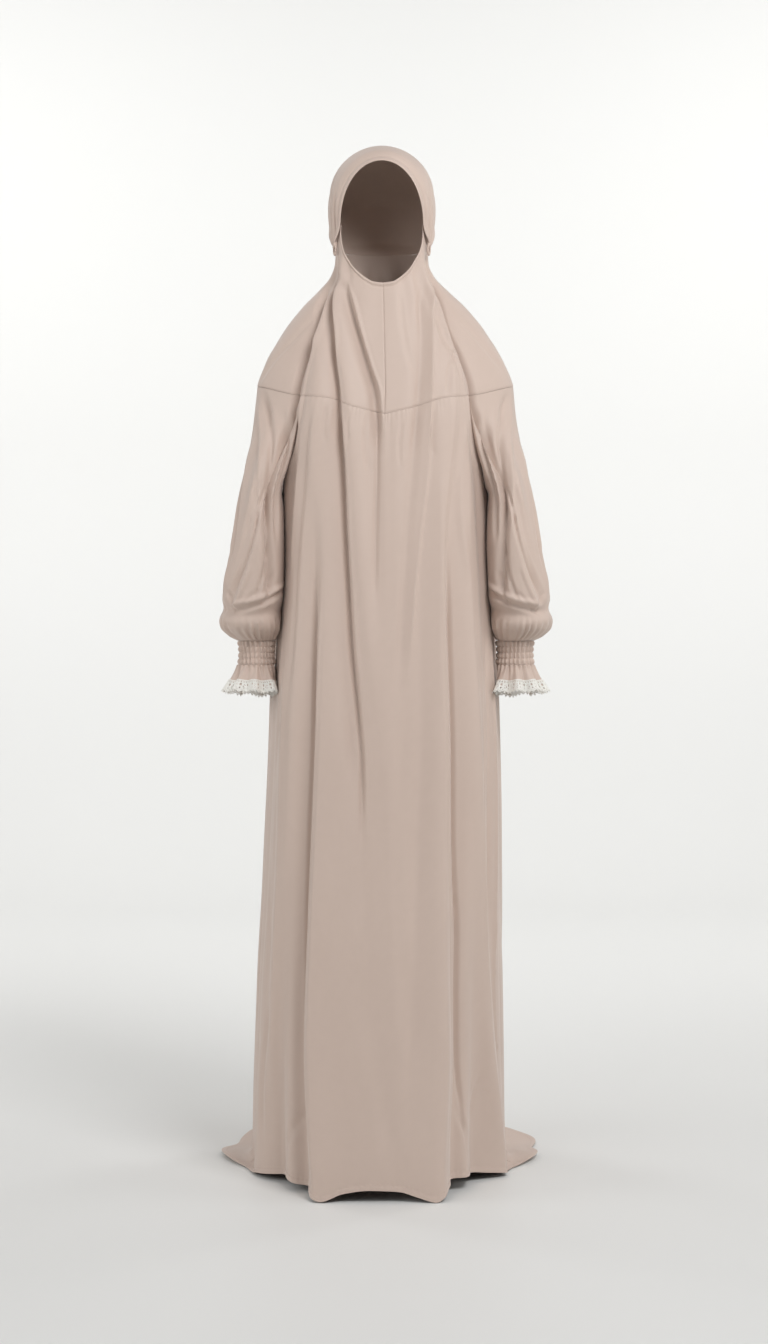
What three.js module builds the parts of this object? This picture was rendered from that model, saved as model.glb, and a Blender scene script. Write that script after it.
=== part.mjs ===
// A one-piece prayer dress: hood, yoke, long body, bishop sleeves, shirred cuffs with lace.
// The front faces -Y, the wearer's left is +X and up is +Z. Heights are measured from the
// floor that the dress reaches, and the finished group is hung so that its origin is the
// place inside the hood's crown where the wearer's head carries it.
import * as THREE from "three";

const DEGREE = Math.PI / 180;

// Driving sizes, in millimetres
const CLOTH = 2;
const LACE = 1.2;
const SEAM_GAP = 0.3;
const CROWN_HEIGHT = 1731;
const NECK_HEIGHT = 1562;
const UNDERARM_HEIGHT = 1170;
const SLEEVE_TOP = 1317;
const CUFF_TOP = 897;
const BAND_LENGTH = 39;
const RUFFLE_LENGTH = 34;
const BODY_CLEARANCE = 5;

// Angles round the body, in degrees from the front
const ARMHOLE_ANGLE = 57;
const SIDE_ANGLE = 90;

// How many steps each wall is divided into
const PANEL_COLUMNS = 36;
const SHOULDER_COLUMNS = 10;
const YOKE_ROWS = 7;
const ARMHOLE_ROWS = 6;
const HOOD_COLUMNS = 28;
const HOOD_ROWS = 10;
const BAND_COLUMNS = 40;
const BAND_ROWS = 2;
const RUFFLE_ROWS = 3;
const LACE_ROWS = 2;

// Colours of the cloth and the lace
const CREPE = new THREE.Color(0.56, 0.45, 0.4);
const WHITE_LACE = new THREE.Color(0.86, 0.85, 0.81);

function table(names, rows) {
  return rows.map((row) => Object.fromEntries(names.map((name, k) => [name, row[k]])));
}

function clamp(value, low, high) {
  return Math.min(high, Math.max(low, value));
}

function mix(a, b, share) {
  return a + (b - a) * share;
}

function ease(share) {
  const t = clamp(share, 0, 1);
  return t * t * (3 - 2 * t);
}

// A smooth curve through one column of a table, with no swing past its rows
function curve(rows, key, column) {
  const at = rows.map((row) => row[key]);
  const to = rows.map((row) => row[column]);
  const rise = at.slice(1).map((value, k) => (to[k + 1] - to[k]) / (value - at[k]));
  const slope = at.map((value, k) => {
    if (k === 0) return rise[0];
    if (k === at.length - 1) return rise[k - 1];
    const before = rise[k - 1];
    const after = rise[k];
    return before * after <= 0 ? 0 : (2 * before * after) / (before + after);
  });
  return (value) => {
    const x = clamp(value, at[0], at[at.length - 1]);
    let k = 0;
    while (k < at.length - 2 && x > at[k + 1]) k += 1;
    const width = at[k + 1] - at[k];
    const t = (x - at[k]) / width;
    const t2 = t * t;
    const t3 = t2 * t;
    return (2 * t3 - 3 * t2 + 1) * to[k] + (t3 - 2 * t2 + t) * width * slope[k]
      + (3 * t2 - 2 * t3) * to[k + 1] + (t3 - t2) * width * slope[k + 1];
  };
}

// Level sections of the dress without its sleeves: half width, how far the shoulder stands
// past it on the yoke, depth to the front and back, squareness, and where its middle lies
const SECTIONS = table(
  ["height", "halfWidth", "shoulder", "front", "back", "square", "middle"],
  [
    [0, 215, 56, 252, 246, 2.2, -7],
    [110, 211, 56, 243, 238, 2.2, -8],
    [300, 206, 56, 226, 224, 2.2, -7],
    [484, 200, 56, 208, 206, 2.3, -2],
    [790, 190, 56, 182, 176, 2.5, 3],
    [950, 178, 56, 170, 162, 2.6, 3],
    [1100, 172, 56, 158, 148, 2.8, 2],
    [1200, 169, 56, 149, 138, 3.0, 2],
    [1269, 167, 56, 141, 130, 3.3, 3],
    [1317, 163, 56, 131, 125, 3.4, 4],
    [1368, 148, 54, 118, 120, 3.2, 3],
    [1419, 128, 43, 104, 114, 3.0, 2],
    [1460, 110, 28, 93, 108, 2.8, 1],
    [1487, 98, 12, 87, 103, 2.7, 0],
    [1510, 86, 2, 84, 98, 2.8, -1],
    [1530, 79, 0, 84, 94, 3.2, -2],
    [1556, 77, 0, 85, 92, 3.4, -2],
    [1600, 72, 0, 76, 90, 3.4, -2],
  ],
);
const halfWidthAt = curve(SECTIONS, "height", "halfWidth");
const shoulderAt = curve(SECTIONS, "height", "shoulder");
const frontAt = curve(SECTIONS, "height", "front");
const backAt = curve(SECTIONS, "height", "back");
const squareAt = curve(SECTIONS, "height", "square");
const middleAt = curve(SECTIONS, "height", "middle");

// The large folds that run down the dress. Each row gives the fold's angle round the body at
// the neck, yoke seam, waist, knee, shin and hem, how far it stands out (or, below zero, sinks
// in) there, and its half width in degrees towards lower and towards higher angles. A fold that
// is narrow on one side makes the steep flank of a lobe.
const FOLD_HEIGHTS = { Hem: 40, Shin: 260, Knee: 560, Waist: 1000, Seam: 1280, Neck: 1480 };
const FOLDS = table(
  ["aNeck", "aSeam", "aWaist", "aKnee", "aShin", "aHem",
    "dNeck", "dSeam", "dWaist", "dKnee", "dShin", "dHem", "low", "high"],
  [
    [-62, -57, -64, -66, -66, -68, -9, -10, -4, 0, 0, 0, 8, 8],
    [60, 57, 64, 66, 66, 68, -9, -10, -4, 0, 0, 0, 8, 8],
    [-58, -41, -46, -52, -56, -57, 3, 5, 5, 6, 8, 9, 9, 7],
    [-54, -31, -22, -10, -2, 6, -9, -10, -9, -5, -3, -1.5, 6, 6],
    [-46, -23, -12, 4, 8, 11, 7, 7, 5, 3, 2, 1.5, 6, 10],
    [-38, -8, -5, -4, -3, -3, -4, -6, -3, 0, 0, 0, 6, 6],
    [-52, -44, -32, -30, -28, -23, 0, 0, 3, 9, 14, 18, 4.5, 11],
    [-58, -50, -39, -38, -36, -32, 0, 0, -5, -16, -25, -29, 9, 5],
    [-54, -54, -54, -54, -53, -53, 0, 0, 0, -6, -20, -36, 14, 16],
    [-80, -80, -74, -76, -80, -84, 0, 0, -3, -6, -8, -8, 9, 9],
    [-103, -103, -104, -101, -100, -103, 0, 0, 12, 8, 6, 7, 10, 10],
    [22, 26, 22, 17, 14, 9, -2, -2, -4, -5, -4, -2.5, 9, 9],
    [38, 21, 12, 8, 8, 8, -4, -4, -2, 0, 0, 0, 7, 7],
    [48, 28, 16, 12, 12, 12, 5, 3, 1, 0, 0, 0, 5, 5],
    [52, 41, 31, 27, 27, 23, 2, 5, 5, 8, 13, 17, 11, 4.5],
    [58, 48, 36, 36, 36, 33, 0, -2, -5, -13, -21, -27, 5, 9],
    [51, 51, 51, 51, 51, 51, 0, 0, 0, -6, -20, -36, 14, 16],
    [62, 52, 48, 52, 60, 70, 0, 2, 4, 8, 10, 10, 8, 4.5],
    [75, 66, 60, 62, 71, 83, 0, 0, -3, -7, -8, -6, 4.5, 8],
    [103, 103, 104, 98, 96, 99, 0, 0, 12, 8, 7, 6, 10, 10],
    [106, 106, 108, 104, 106, 110, 0, 0, -3, -8, -10, -11, 8, 8],
    [-117, -117, -115, -116, -118, -119, 0, 0, -4, -8, -10, -11, 8, 8],
    [123, 123, 121, 122, 123, 124, -7, -12, -4, 8, 12, 13, 9, 9],
    [-123, -123, -127, -132, -134, -136, -7, -12, -4, 8, 12, 13, 9, 9],
    [142, 140, 142, 141, 141, 142, -4, -6, -9, -15, -19, -20, 5, 9],
    [-150, -148, -149, -151, -153, -154, -4, -6, -9, -15, -19, -20, 9, 5],
    [160, 161, 160, 159, 159, 160, 4, 5, 6, 10, 13, 14, 9, 5],
    [-166, -165, -167, -170, -171, -172, 4, 5, 6, 10, 13, 14, 5, 9],
    [178, 180, 180, 177, 176, 176, -4, -6, -6, -8, -9, -10, 7, 7],
  ],
).map((row) => {
  const stations = (letter) => Object.entries(FOLD_HEIGHTS).map(([place, height]) => (
    { height, value: row[letter + place] }));
  return {
    angleAt: curve(stations("a"), "height", "value"),
    depthAt: curve(stations("d"), "height", "value"),
    low: row.low,
    high: row.high,
  };
});

// The yoke seam's height round the body, the same on both sides
const YOKE_SEAM = table(
  ["angle", "height"],
  [[0, 1269], [20, 1281], [38, 1297], [57, 1303], [90, 1326], [123, 1312], [180, 1306]],
);
const yokeSeamAt = curve(YOKE_SEAM, "angle", "height");

// The yoke's upper edge: it dips under the chin, rises in front of the ears, where it is tucked
// behind the hood's edge, and meets the hood level round the back of the neck
const YOKE_TOP = table(
  ["angle", "height"],
  [[0, 1490], [10, 1492], [18.5, 1499], [25, 1507], [30, 1515], [36, 1528], [41, 1542], [44.5, 1555],
    [48, 1567], [52, 1581], [55, 1591], [58, 1588], [62, NECK_HEIGHT], [180, NECK_HEIGHT]],
);
const yokeTopAt = curve(YOKE_TOP, "angle", "height");

// The hem round the dress: how high its edge is above the floor, and how far the cloth runs
// out along the floor there
const HEM = table(
  ["angle", "lift", "run"],
  [
    [-180, 3, 50], [-150, 3, 62], [-128, 3, 74], [-112, 3, 66], [-97, 3, 46], [-84, 3, 20],
    [-74, 5, 4], [-66, 8, 0], [-54, 14, 0], [-44, 18, 0], [-36, 12, 0], [-28, 10, 0],
    [-24, 6, 0], [-20.5, 2, 0], [-13, 14, 0], [-3, 20, 0], [8, 17, 0], [14, 9, 0],
    [20.5, 1, 0], [24, 9, 0], [28, 18, 0], [35, 22, 0], [44, 21, 0], [54, 16, 0], [64, 10, 0],
    [74, 5, 2], [86, 3, 26], [98, 3, 52], [110, 3, 74], [122, 3, 88], [134, 3, 94],
    [148, 3, 82], [165, 3, 60], [180, 3, 50],
  ],
);
const hemLiftAt = curve(HEM, "angle", "lift");
const hemRunAt = curve(HEM, "angle", "run");
const TURN_SHARE = 0.35;
const POOL_WAVE = 7;
const POOL_WAVES = 9;

// An angle brought between -180 and 180 degrees
function turn(angle) {
  return angle - 360 * Math.round(angle / 360);
}

// The folds run out towards the neck
const FOLD_FADE = 70;
function foldRelief(angle, height) {
  const fade = ease((NECK_HEIGHT - height) / FOLD_FADE);
  let relief = 0;
  for (const fold of FOLDS) {
    const gap = turn(angle - fold.angleAt(height));
    const off = gap / (gap < 0 ? fold.low : fold.high);
    relief += fade * fold.depthAt(height) * Math.exp(-2 * off * off);
  }
  return relief;
}

// Small gathers where the body's panels are eased into the yoke seam
const GATHER_DEPTH = 0.7;
const GATHER_SPACING = 8;
const GATHER_REACH = 110;
function gatherRelief(angle, height) {
  const below = yokeSeamAt(Math.abs(angle)) - height;
  if (below <= 0) return 0;
  const fade = Math.exp(-below / GATHER_REACH) * ease(below / 25);
  const uneven = 0.55 + 0.45 * Math.sin(angle * 0.17 + 2);
  const wave = Math.cos((2 * Math.PI * angle) / GATHER_SPACING + Math.sin(angle * 0.11));
  return GATHER_DEPTH * fade * uneven * wave;
}

function sectionRadius(angle, height) {
  const s = Math.abs(Math.sin(angle * DEGREE));
  const c = Math.cos(angle * DEGREE);
  const depth = c > 0 ? frontAt(height) : backAt(height);
  const n = squareAt(height);
  return ((s / halfWidthAt(height)) ** n + (Math.abs(c) / depth) ** n) ** (-1 / n);
}

function roundBody(angle, height, radius) {
  return new THREE.Vector3(
    middleAt(height) + radius * Math.sin(angle * DEGREE),
    -radius * Math.cos(angle * DEGREE),
    height,
  );
}

// The hem's own cloth length below the height where it starts to turn out on the floor
function hemFall(angle) {
  const a = turn(angle);
  const run = hemRunAt(a);
  const bend = TURN_SHARE * run;
  return hemLiftAt(a) + (2 - Math.PI / 2) * bend - run;
}

// A point of the body at an angle, where fall is the height it would have if the floor let it
// hang on: near the floor the cloth turns outwards and lies on it
function bodyPoint(angle, fall) {
  const a = turn(angle);
  const lift = hemLiftAt(a);
  const bend = Math.max(TURN_SHARE * hemRunAt(a), 0.5);
  const past = lift + bend - fall;
  let height = fall;
  let run = 0;
  if (past > 0) {
    const bow = Math.min(past / bend, Math.PI / 2);
    run = bend * (1 - Math.cos(bow)) + Math.max(0, past - (bend * Math.PI) / 2);
    height = lift + bend * (1 - Math.sin(bow));
    height += POOL_WAVE * ease(run / 40) * (0.5 - 0.5 * Math.cos(POOL_WAVES * a * DEGREE));
  }
  const radius = sectionRadius(a, fall) + foldRelief(a, fall) + gatherRelief(a, fall) + run;
  const point = roundBody(a, clamp(fall, 0, CROWN_HEIGHT), radius);
  point.z = height;
  return point;
}

// The yoke follows the body's sections and swells out over the shoulders
function yokePoint(angle, height) {
  const a = turn(angle);
  const into = (Math.abs(a) - ARMHOLE_ANGLE) / (180 - 2 * ARMHOLE_ANGLE);
  const swell = into > 0 && into < 1 ? Math.sin(Math.PI * into) ** 2 : 0;
  const radius = sectionRadius(a, height) + foldRelief(a, height) + swell * shoulderAt(height);
  return roundBody(a, height, radius);
}

// The outward normal of a surface of two parameters, from its own small differences
function normalOf(surface, u, v, du, dv) {
  const along = surface(u + du, v).sub(surface(u - du, v));
  const down = surface(u, v + dv).sub(surface(u, v - dv));
  return down.cross(along).normalize();
}

// One wall of cloth through a grid of outer points and inner points, closed at its edges.
// The columns run right round when the wall is a tube.
function wallGeometry(outer, inner, tube) {
  const rows = outer.length;
  const columns = outer[0].length;
  const positions = [];
  for (const grid of [outer, inner]) {
    for (const row of grid) {
      for (const point of row) positions.push(point.x, point.y, point.z);
    }
  }
  const index = [];
  const at = (side, i, j) => side * rows * columns + i * columns + (j % columns);
  const quad = (a, b, c, d) => index.push(a, b, c, a, c, d);
  const last = tube ? columns : columns - 1;
  for (let j = 0; j < last; j += 1) {
    for (let i = 0; i < rows - 1; i += 1) {
      quad(at(0, i, j), at(0, i + 1, j), at(0, i + 1, j + 1), at(0, i, j + 1));
      quad(at(1, i, j), at(1, i, j + 1), at(1, i + 1, j + 1), at(1, i + 1, j));
    }
    quad(at(0, 0, j), at(0, 0, j + 1), at(1, 0, j + 1), at(1, 0, j));
    quad(at(0, rows - 1, j), at(1, rows - 1, j), at(1, rows - 1, j + 1), at(0, rows - 1, j + 1));
  }
  for (let i = 0; i < rows - 1 && !tube; i += 1) {
    const right = columns - 1;
    quad(at(0, i, 0), at(1, i, 0), at(1, i + 1, 0), at(0, i + 1, 0));
    quad(at(0, i, right), at(0, i + 1, right), at(1, i + 1, right), at(1, i, right));
  }
  let volume = 0;
  const corner = (k) => new THREE.Vector3().fromArray(positions, 3 * k);
  for (let k = 0; k < index.length; k += 3) {
    volume += corner(index[k]).dot(corner(index[k + 1]).cross(corner(index[k + 2])));
  }
  if (volume < 0) index.reverse();
  const geometry = new THREE.BufferGeometry();
  geometry.setAttribute("position", new THREE.Float32BufferAttribute(positions, 3));
  geometry.setIndex(index);
  geometry.computeVertexNormals();
  return geometry;
}

// Draws one edge of a wall back along its own cloth, so that a seam keeps its gap
function drawBack(outer, inner, edge, distance) {
  const rows = outer.length;
  const columns = outer[0].length;
  const level = edge === "top" || edge === "bottom";
  for (let k = 0; k < (level ? columns : rows); k += 1) {
    const [i, j, ni, nj] = {
      top: [0, k, 1, k],
      bottom: [rows - 1, k, rows - 2, k],
      start: [k, 0, k, 1],
      end: [k, columns - 1, k, columns - 2],
    }[edge];
    const step = outer[ni][nj].clone().sub(outer[i][j]).setLength(distance);
    outer[i][j].add(step);
    inner[i][j].add(step);
  }
}

const dress = new THREE.Group();
dress.position.set(0, 0, CLOTH - CROWN_HEIGHT);

function addPiece(name, geometry, colour, roughness) {
  const material = new THREE.MeshStandardMaterial({ color: colour, roughness, metalness: 0 });
  const mesh = new THREE.Mesh(geometry, material);
  mesh.name = name;
  dress.add(mesh);
}

// Makes one cloth panel from its points and the directions that its thickness goes in
function addPanel(name, spots, edges, tube = false) {
  const outer = spots.map((row) => row.map((spot) => spot.point.clone()));
  const inner = spots.map((row) => row.map((spot) => (
    spot.point.clone().addScaledVector(spot.normal, -CLOTH))));
  for (const edge of edges) drawBack(outer, inner, edge, SEAM_GAP / 2);
  if (tube) drawBack(outer, inner, "top", 2 * SEAM_GAP);
  addPiece(name, wallGeometry(outer, inner, tube), CREPE, 0.75);
}

function grid(rowValues, columnValues, spot) {
  return rowValues.map((row) => columnValues.map((column) => spot(column, row)));
}

function steps(from, to, count) {
  return Array.from({ length: count + 1 }, (unused, k) => mix(from, to, k / count));
}

// The yoke: rows run from its upper edge to the yoke seam
function yokeSpot(angle, down) {
  const side = Math.abs(turn(angle));
  const height = mix(yokeTopAt(side), yokeSeamAt(side), down);
  const normal = normalOf((a, fall) => yokePoint(a, -fall), angle, -height, 0.4, 1);
  return { point: yokePoint(angle, height), normal };
}

const frontColumns = steps(0, ARMHOLE_ANGLE, PANEL_COLUMNS / 2);
const overShoulder = steps(ARMHOLE_ANGLE, SIDE_ANGLE, SHOULDER_COLUMNS / 2).slice(1);
const halfFront = [...frontColumns, ...overShoulder];
const yokeRows = steps(0, 1, YOKE_ROWS);
const mirrored = (angles) => angles.map((angle) => -angle).reverse();
const behind = (angles) => angles.map((angle) => 180 - angle).reverse();

addPanel("yoke_front_left", grid(yokeRows, halfFront, yokeSpot), ["start", "end", "bottom"]);
addPanel("yoke_front_right", grid(yokeRows, mirrored(halfFront), yokeSpot), ["start", "end", "bottom"]);
const backColumns = [
  ...behind(halfFront),
  ...halfFront.slice(1).map((angle) => 180 + angle),
];
addPanel("yoke_back", grid(yokeRows, backColumns, yokeSpot), ["start", "end", "top", "bottom"]);

// The body: its side edges follow the armhole down to the underarm, then the side seam
function armholeAngle(share) {
  return mix(ARMHOLE_ANGLE, SIDE_ANGLE, share ** 2);
}
function armholeHeight(seamHeight, share, edge) {
  return mix(seamHeight, UNDERARM_HEIGHT, mix(share, 1 - (1 - share) ** 1.7, edge));
}

// How far down from the underarm to the hem each lower row lies, closest near the floor
const SKIRT_ROWS = [0.09, 0.2, 0.32, 0.45, 0.58, 0.7, 0.81, 0.89, 0.935, 0.965, 0.985, 1];

function bodySpot(across, down, facing) {
  const upper = down <= 1;
  const reach = upper ? armholeAngle(down) : SIDE_ANGLE;
  const angle = facing + across * reach;
  const seam = yokeSeamAt(Math.abs(turn(facing + across * ARMHOLE_ANGLE)));
  const fall = upper
    ? armholeHeight(seam, down, across ** 2)
    : mix(UNDERARM_HEIGHT, hemFall(angle), down - 1);
  const normal = normalOf((a, drop) => bodyPoint(a, -drop), angle, -fall, 0.4, 1);
  return { point: bodyPoint(angle, fall), normal };
}

const bodyRows = [...steps(0, 1, ARMHOLE_ROWS), ...SKIRT_ROWS.map((share) => 1 + share)];
const panelColumns = steps(-1, 1, PANEL_COLUMNS);
for (const [name, facing] of [["body_front", 0], ["body_back", 180]]) {
  const spots = grid(bodyRows, panelColumns, (across, down) => bodySpot(across, down, facing));
  addPanel(name, spots, ["top", "start", "end"]);
}

// The hood, in arcs that turn over the head from the face edge to the nape, each from one side
// of the neck to the other. A row gives the arc's highest point in the middle plane, its widest
// half width, and how far up the arc that widest place is.
const HOOD_ARCS = table(
  ["back", "crownY", "crownHeight", "widest", "widestAt"],
  [
    [0, -88, 1691, 68.5, 0.27],
    [0.1, -64, 1713, 82, 0.36],
    [0.3, 0, CROWN_HEIGHT, 88.5, 0.47],
    [0.5, 74, 1712, 89.5, 0.42],
    [0.7, 122, 1648, 88, 0.3],
    [0.85, 121, 1590, 84, 0.15],
    [1, 96, NECK_HEIGHT, 79, 0],
  ],
);
const hoodCrownYAt = curve(HOOD_ARCS, "back", "crownY");
const hoodCrownAt = curve(HOOD_ARCS, "back", "crownHeight");
const hoodWidestAt = curve(HOOD_ARCS, "back", "widest");
const hoodWidestUpAt = curve(HOOD_ARCS, "back", "widestAt");
const HEAD_MIDDLE = -2;
const TIE_ANGLE = 58;
const NAPE_ANGLE = 102;
const EAR_OVERLAP = 7;

// Pleats in the hood's sides that run together at the ear ties
const PLEAT_DEPTH = 2.4;
const PLEATS = 4.5;

// The hood's lower edge at the side: it laps over the chin piece at the tie, then runs on the neck seam
function hoodBase(side, back, out = 0) {
  const angle = side * mix(TIE_ANGLE, NAPE_ANGLE, back);
  const lap = EAR_OVERLAP * (1 - ease(back / 0.6)) + out;
  const radius = sectionRadius(angle, NECK_HEIGHT) + foldRelief(angle, NECK_HEIGHT) + lap;
  return roundBody(angle, NECK_HEIGHT, radius);
}

function hoodArc(across, back) {
  const side = across < 0 ? -1 : 1;
  const base = hoodBase(side, back);
  const crownY = hoodCrownYAt(back);
  const crown = hoodCrownAt(back);
  const widest = hoodWidestAt(back);
  const widestUp = hoodWidestUpAt(back);
  const tall = Math.hypot(crownY - base.y, crown - base.z);
  const straight = widestUp * tall;
  const bow = (Math.PI / 4) * (widest + tall - straight);
  const share = straight / (straight + bow);
  const up = 1 - Math.abs(across);
  const baseHalf = Math.abs(base.x - HEAD_MIDDLE);
  let half;
  let rise;
  if (up < share) {
    const t = up / share;
    rise = widestUp * t;
    half = widest + (baseHalf - widest) * (1 - t) ** 2.2;
  } else {
    const bent = (((up - share) / (1 - share)) * Math.PI) / 2;
    rise = widestUp + (1 - widestUp) * Math.sin(bent);
    half = widest * Math.cos(bent) + (share === 0 ? (baseHalf - widest) * Math.cos(bent) : 0);
  }
  return new THREE.Vector3(
    HEAD_MIDDLE + side * half,
    mix(base.y, crownY, rise),
    mix(base.z, crown, rise),
  );
}

// The hood is pulled at its last arc to the neck seam's own round
function hoodPoint(across, back) {
  const point = hoodArc(across, back);
  const angle = 180 - across * (180 - NAPE_ANGLE);
  const nape = roundBody(angle, NECK_HEIGHT,
    sectionRadius(angle, NECK_HEIGHT) + foldRelief(turn(angle), NECK_HEIGHT));
  const offset = nape.sub(hoodArc(across, 1));
  point.addScaledVector(offset, back ** 3);
  const up = 1 - Math.abs(across);
  const pleat = PLEAT_DEPTH * Math.exp(-up / 0.16) * ease(up / 0.04) * ease(back / 0.08)
    * ease((1 - back) / 0.25) * Math.cos(2 * Math.PI * PLEATS * back);
  point.x += Math.sign(across) * pleat;
  return point;
}

function hoodSpot(across, back) {
  const a = clamp(across, -0.995, 0.995);
  const b = clamp(back, 0.01, 0.99);
  return {
    point: hoodPoint(across, back),
    normal: normalOf((x, y) => hoodPoint(x, y), a, b, 0.005, 0.01).negate(),
  };
}

const hoodRows = steps(0, 1, HOOD_ROWS);
const hoodColumns = steps(-1, 1, HOOD_COLUMNS);
const hoodSpots = grid(hoodRows, hoodColumns, hoodSpot);
addPanel("hood", hoodSpots, ["bottom", "start", "end"]);

// Level sections of a sleeve: where its inner and outer sides are from the dress's middle, how
// far forward its middle is, and its half depth
const SLEEVE_SECTIONS = table(
  ["height", "inner", "outer", "forward", "halfDepth"],
  [
    [CUFF_TOP, 186, 249, 30, 36],
    [905, 182, 262, 31, 50],
    [918, 176, 275, 35, 63],
    [938, 173, 281, 39, 70],
    [980, 170, 273, 45, 72],
    [1050, 168, 258, 47, 75],
    [1150, 170, 242, 31, 79],
    [1250, 165, 228, 9, 84],
    [SLEEVE_TOP, 160, 222, 0, 88],
  ],
);
const sleeveInnerAt = curve(SLEEVE_SECTIONS, "height", "inner");
const sleeveOuterAt = curve(SLEEVE_SECTIONS, "height", "outer");
const sleeveForwardAt = curve(SLEEVE_SECTIONS, "height", "forward");
const sleeveHalfDepthAt = curve(SLEEVE_SECTIONS, "height", "halfDepth");
const SLEEVE_SHIFT = 5;

// Folds down the sleeve. Angles run round it from its front, outwards; from and to are shares
// of its length, and a row may slant between its two angles.
const SLEEVE_FOLDS = table(
  ["angleFrom", "angleTo", "from", "to", "depth", "half"],
  [
    [0, -40, 0.06, 0.86, -14, 15],
    [30, 22, 0.05, 0.55, 6, 16],
    [4, 48, 0.3, 0.92, -7, 14],
    [62, 70, 0.15, 0.85, 6, 16],
    [100, 112, 0.1, 0.8, -8, 15],
    [140, 150, 0.1, 0.9, 7, 16],
    [180, 172, 0.1, 0.9, -9, 14],
    [214, 222, 0.2, 0.9, 6, 15],
  ],
);
const BLOUSE_CREASE = 9;
const BLOUSE_SHARE = 0.885;
const CUFF_GATHER_DEPTH = 3;
const CUFF_GATHERS = 11;

function sleeveRing(side, turned, height) {
  const inner = sleeveInnerAt(height);
  const outer = sleeveOuterAt(height);
  const half = (outer - inner) / 2;
  const across = (outer + inner) / 2 + half * Math.sin(turned * DEGREE);
  return new THREE.Vector3(
    side * across + SLEEVE_SHIFT,
    -sleeveForwardAt(height) - sleeveHalfDepthAt(height) * Math.cos(turned * DEGREE),
    height,
  );
}

// Shares of the sleeve's round: the yoke arc, then down the back armhole, then up the front
const ARC_SHARE = SHOULDER_COLUMNS / (SHOULDER_COLUMNS + 2 * ARMHOLE_ROWS);
const UNDERARM_SHARE = ARC_SHARE + ARMHOLE_ROWS / (SHOULDER_COLUMNS + 2 * ARMHOLE_ROWS);
const ARC_TURNS = [-20, 200];
const UNDERARM_TURN = 270;

function sleeveTurned(around) {
  const u = around - Math.floor(around);
  if (u < ARC_SHARE) return mix(ARC_TURNS[0], ARC_TURNS[1], u / ARC_SHARE);
  if (u < UNDERARM_SHARE) {
    return mix(ARC_TURNS[1], UNDERARM_TURN, (u - ARC_SHARE) / (UNDERARM_SHARE - ARC_SHARE));
  }
  return mix(UNDERARM_TURN, 360 + ARC_TURNS[0], (u - UNDERARM_SHARE) / (1 - UNDERARM_SHARE));
}

function armholePoint(side, share, back) {
  const reach = armholeAngle(share);
  const seam = yokeSeamAt(back ? 180 - ARMHOLE_ANGLE : ARMHOLE_ANGLE);
  return bodyPoint(side * (back ? 180 - reach : reach), armholeHeight(seam, share, 1));
}

// The sleeve's upper loop: the yoke seam over the shoulder and the armhole under the arm
function sleeveLoop(side, around) {
  const u = around - Math.floor(around);
  if (u < ARC_SHARE) {
    const angle = mix(ARMHOLE_ANGLE, 180 - ARMHOLE_ANGLE, u / ARC_SHARE);
    return yokePoint(side * angle, yokeSeamAt(angle));
  }
  if (u < UNDERARM_SHARE) {
    return armholePoint(side, (u - ARC_SHARE) / (UNDERARM_SHARE - ARC_SHARE), true);
  }
  return armholePoint(side, (1 - u) / (1 - UNDERARM_SHARE), false);
}

// Moves a point of a sleeve or cuff out until it is clear of the body by a distance
function keepClear(point, distance) {
  const middle = middleAt(point.z);
  const angle = Math.atan2(point.x - middle, -point.y) / DEGREE;
  const radius = Math.hypot(point.x - middle, point.y);
  const body = bodyPoint(angle, point.z);
  const least = Math.hypot(body.x - middle, body.y) + distance;
  if (radius < least) {
    point.x = middle + least * Math.sin(angle * DEGREE);
    point.y = -least * Math.cos(angle * DEGREE);
  }
  return point;
}

function sleeveRelief(turned, down) {
  let relief = 0;
  for (const fold of SLEEVE_FOLDS) {
    const along = (down - fold.from) / (fold.to - fold.from);
    const angle = mix(fold.angleFrom, fold.angleTo, clamp(along, 0, 1));
    const off = turn(turned - angle) / fold.half;
    const length = ease((down - fold.from) / 0.15) * ease((fold.to - down) / 0.12);
    relief += fold.depth * length * Math.exp(-2 * off * off);
  }
  const crease = (down - BLOUSE_SHARE - 0.012 * Math.cos(turned * DEGREE * 2)) / 0.03;
  const facing = 0.55 + 0.45 * Math.cos((turned - 20) * DEGREE);
  relief -= BLOUSE_CREASE * facing * Math.exp(-crease * crease);
  const low = ease((down - 0.9) / 0.08);
  relief += CUFF_GATHER_DEPTH * low * ease((1 - down) / 0.03)
    * Math.cos(CUFF_GATHERS * turned * DEGREE);
  return relief;
}

function sleevePoint(side, around, down) {
  const turned = sleeveTurned(around);
  const height = mix(SLEEVE_TOP, CUFF_TOP, down);
  const point = sleeveRing(side, turned, height);
  const offset = sleeveLoop(side, around).sub(sleeveRing(side, turned, SLEEVE_TOP));
  point.addScaledVector(offset, 1 - ease(down / 0.5));
  const relief = sleeveRelief(turned, down);
  point.x += side * relief * Math.sin(turned * DEGREE);
  point.y -= relief * Math.cos(turned * DEGREE);
  return keepClear(point, BODY_CLEARANCE * ease(down / 0.05));
}

function sleeveSpot(side, around, down) {
  const point = sleevePoint(side, around, down);
  const d = clamp(down, 0.006, 0.994);
  const own = normalOf((x, y) => sleevePoint(side, x, y), around, d, 0.004, 0.006);
  if (side < 0) own.negate();
  if (down > 0 || around > ARC_SHARE) return { point, normal: own };
  const angle = side * mix(ARMHOLE_ANGLE, 180 - ARMHOLE_ANGLE, around / ARC_SHARE);
  const yoke = normalOf((a, fall) => yokePoint(a, -fall), angle, -yokeSeamAt(Math.abs(angle)), 0.4, 1);
  return { point, normal: yoke };
}

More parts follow.
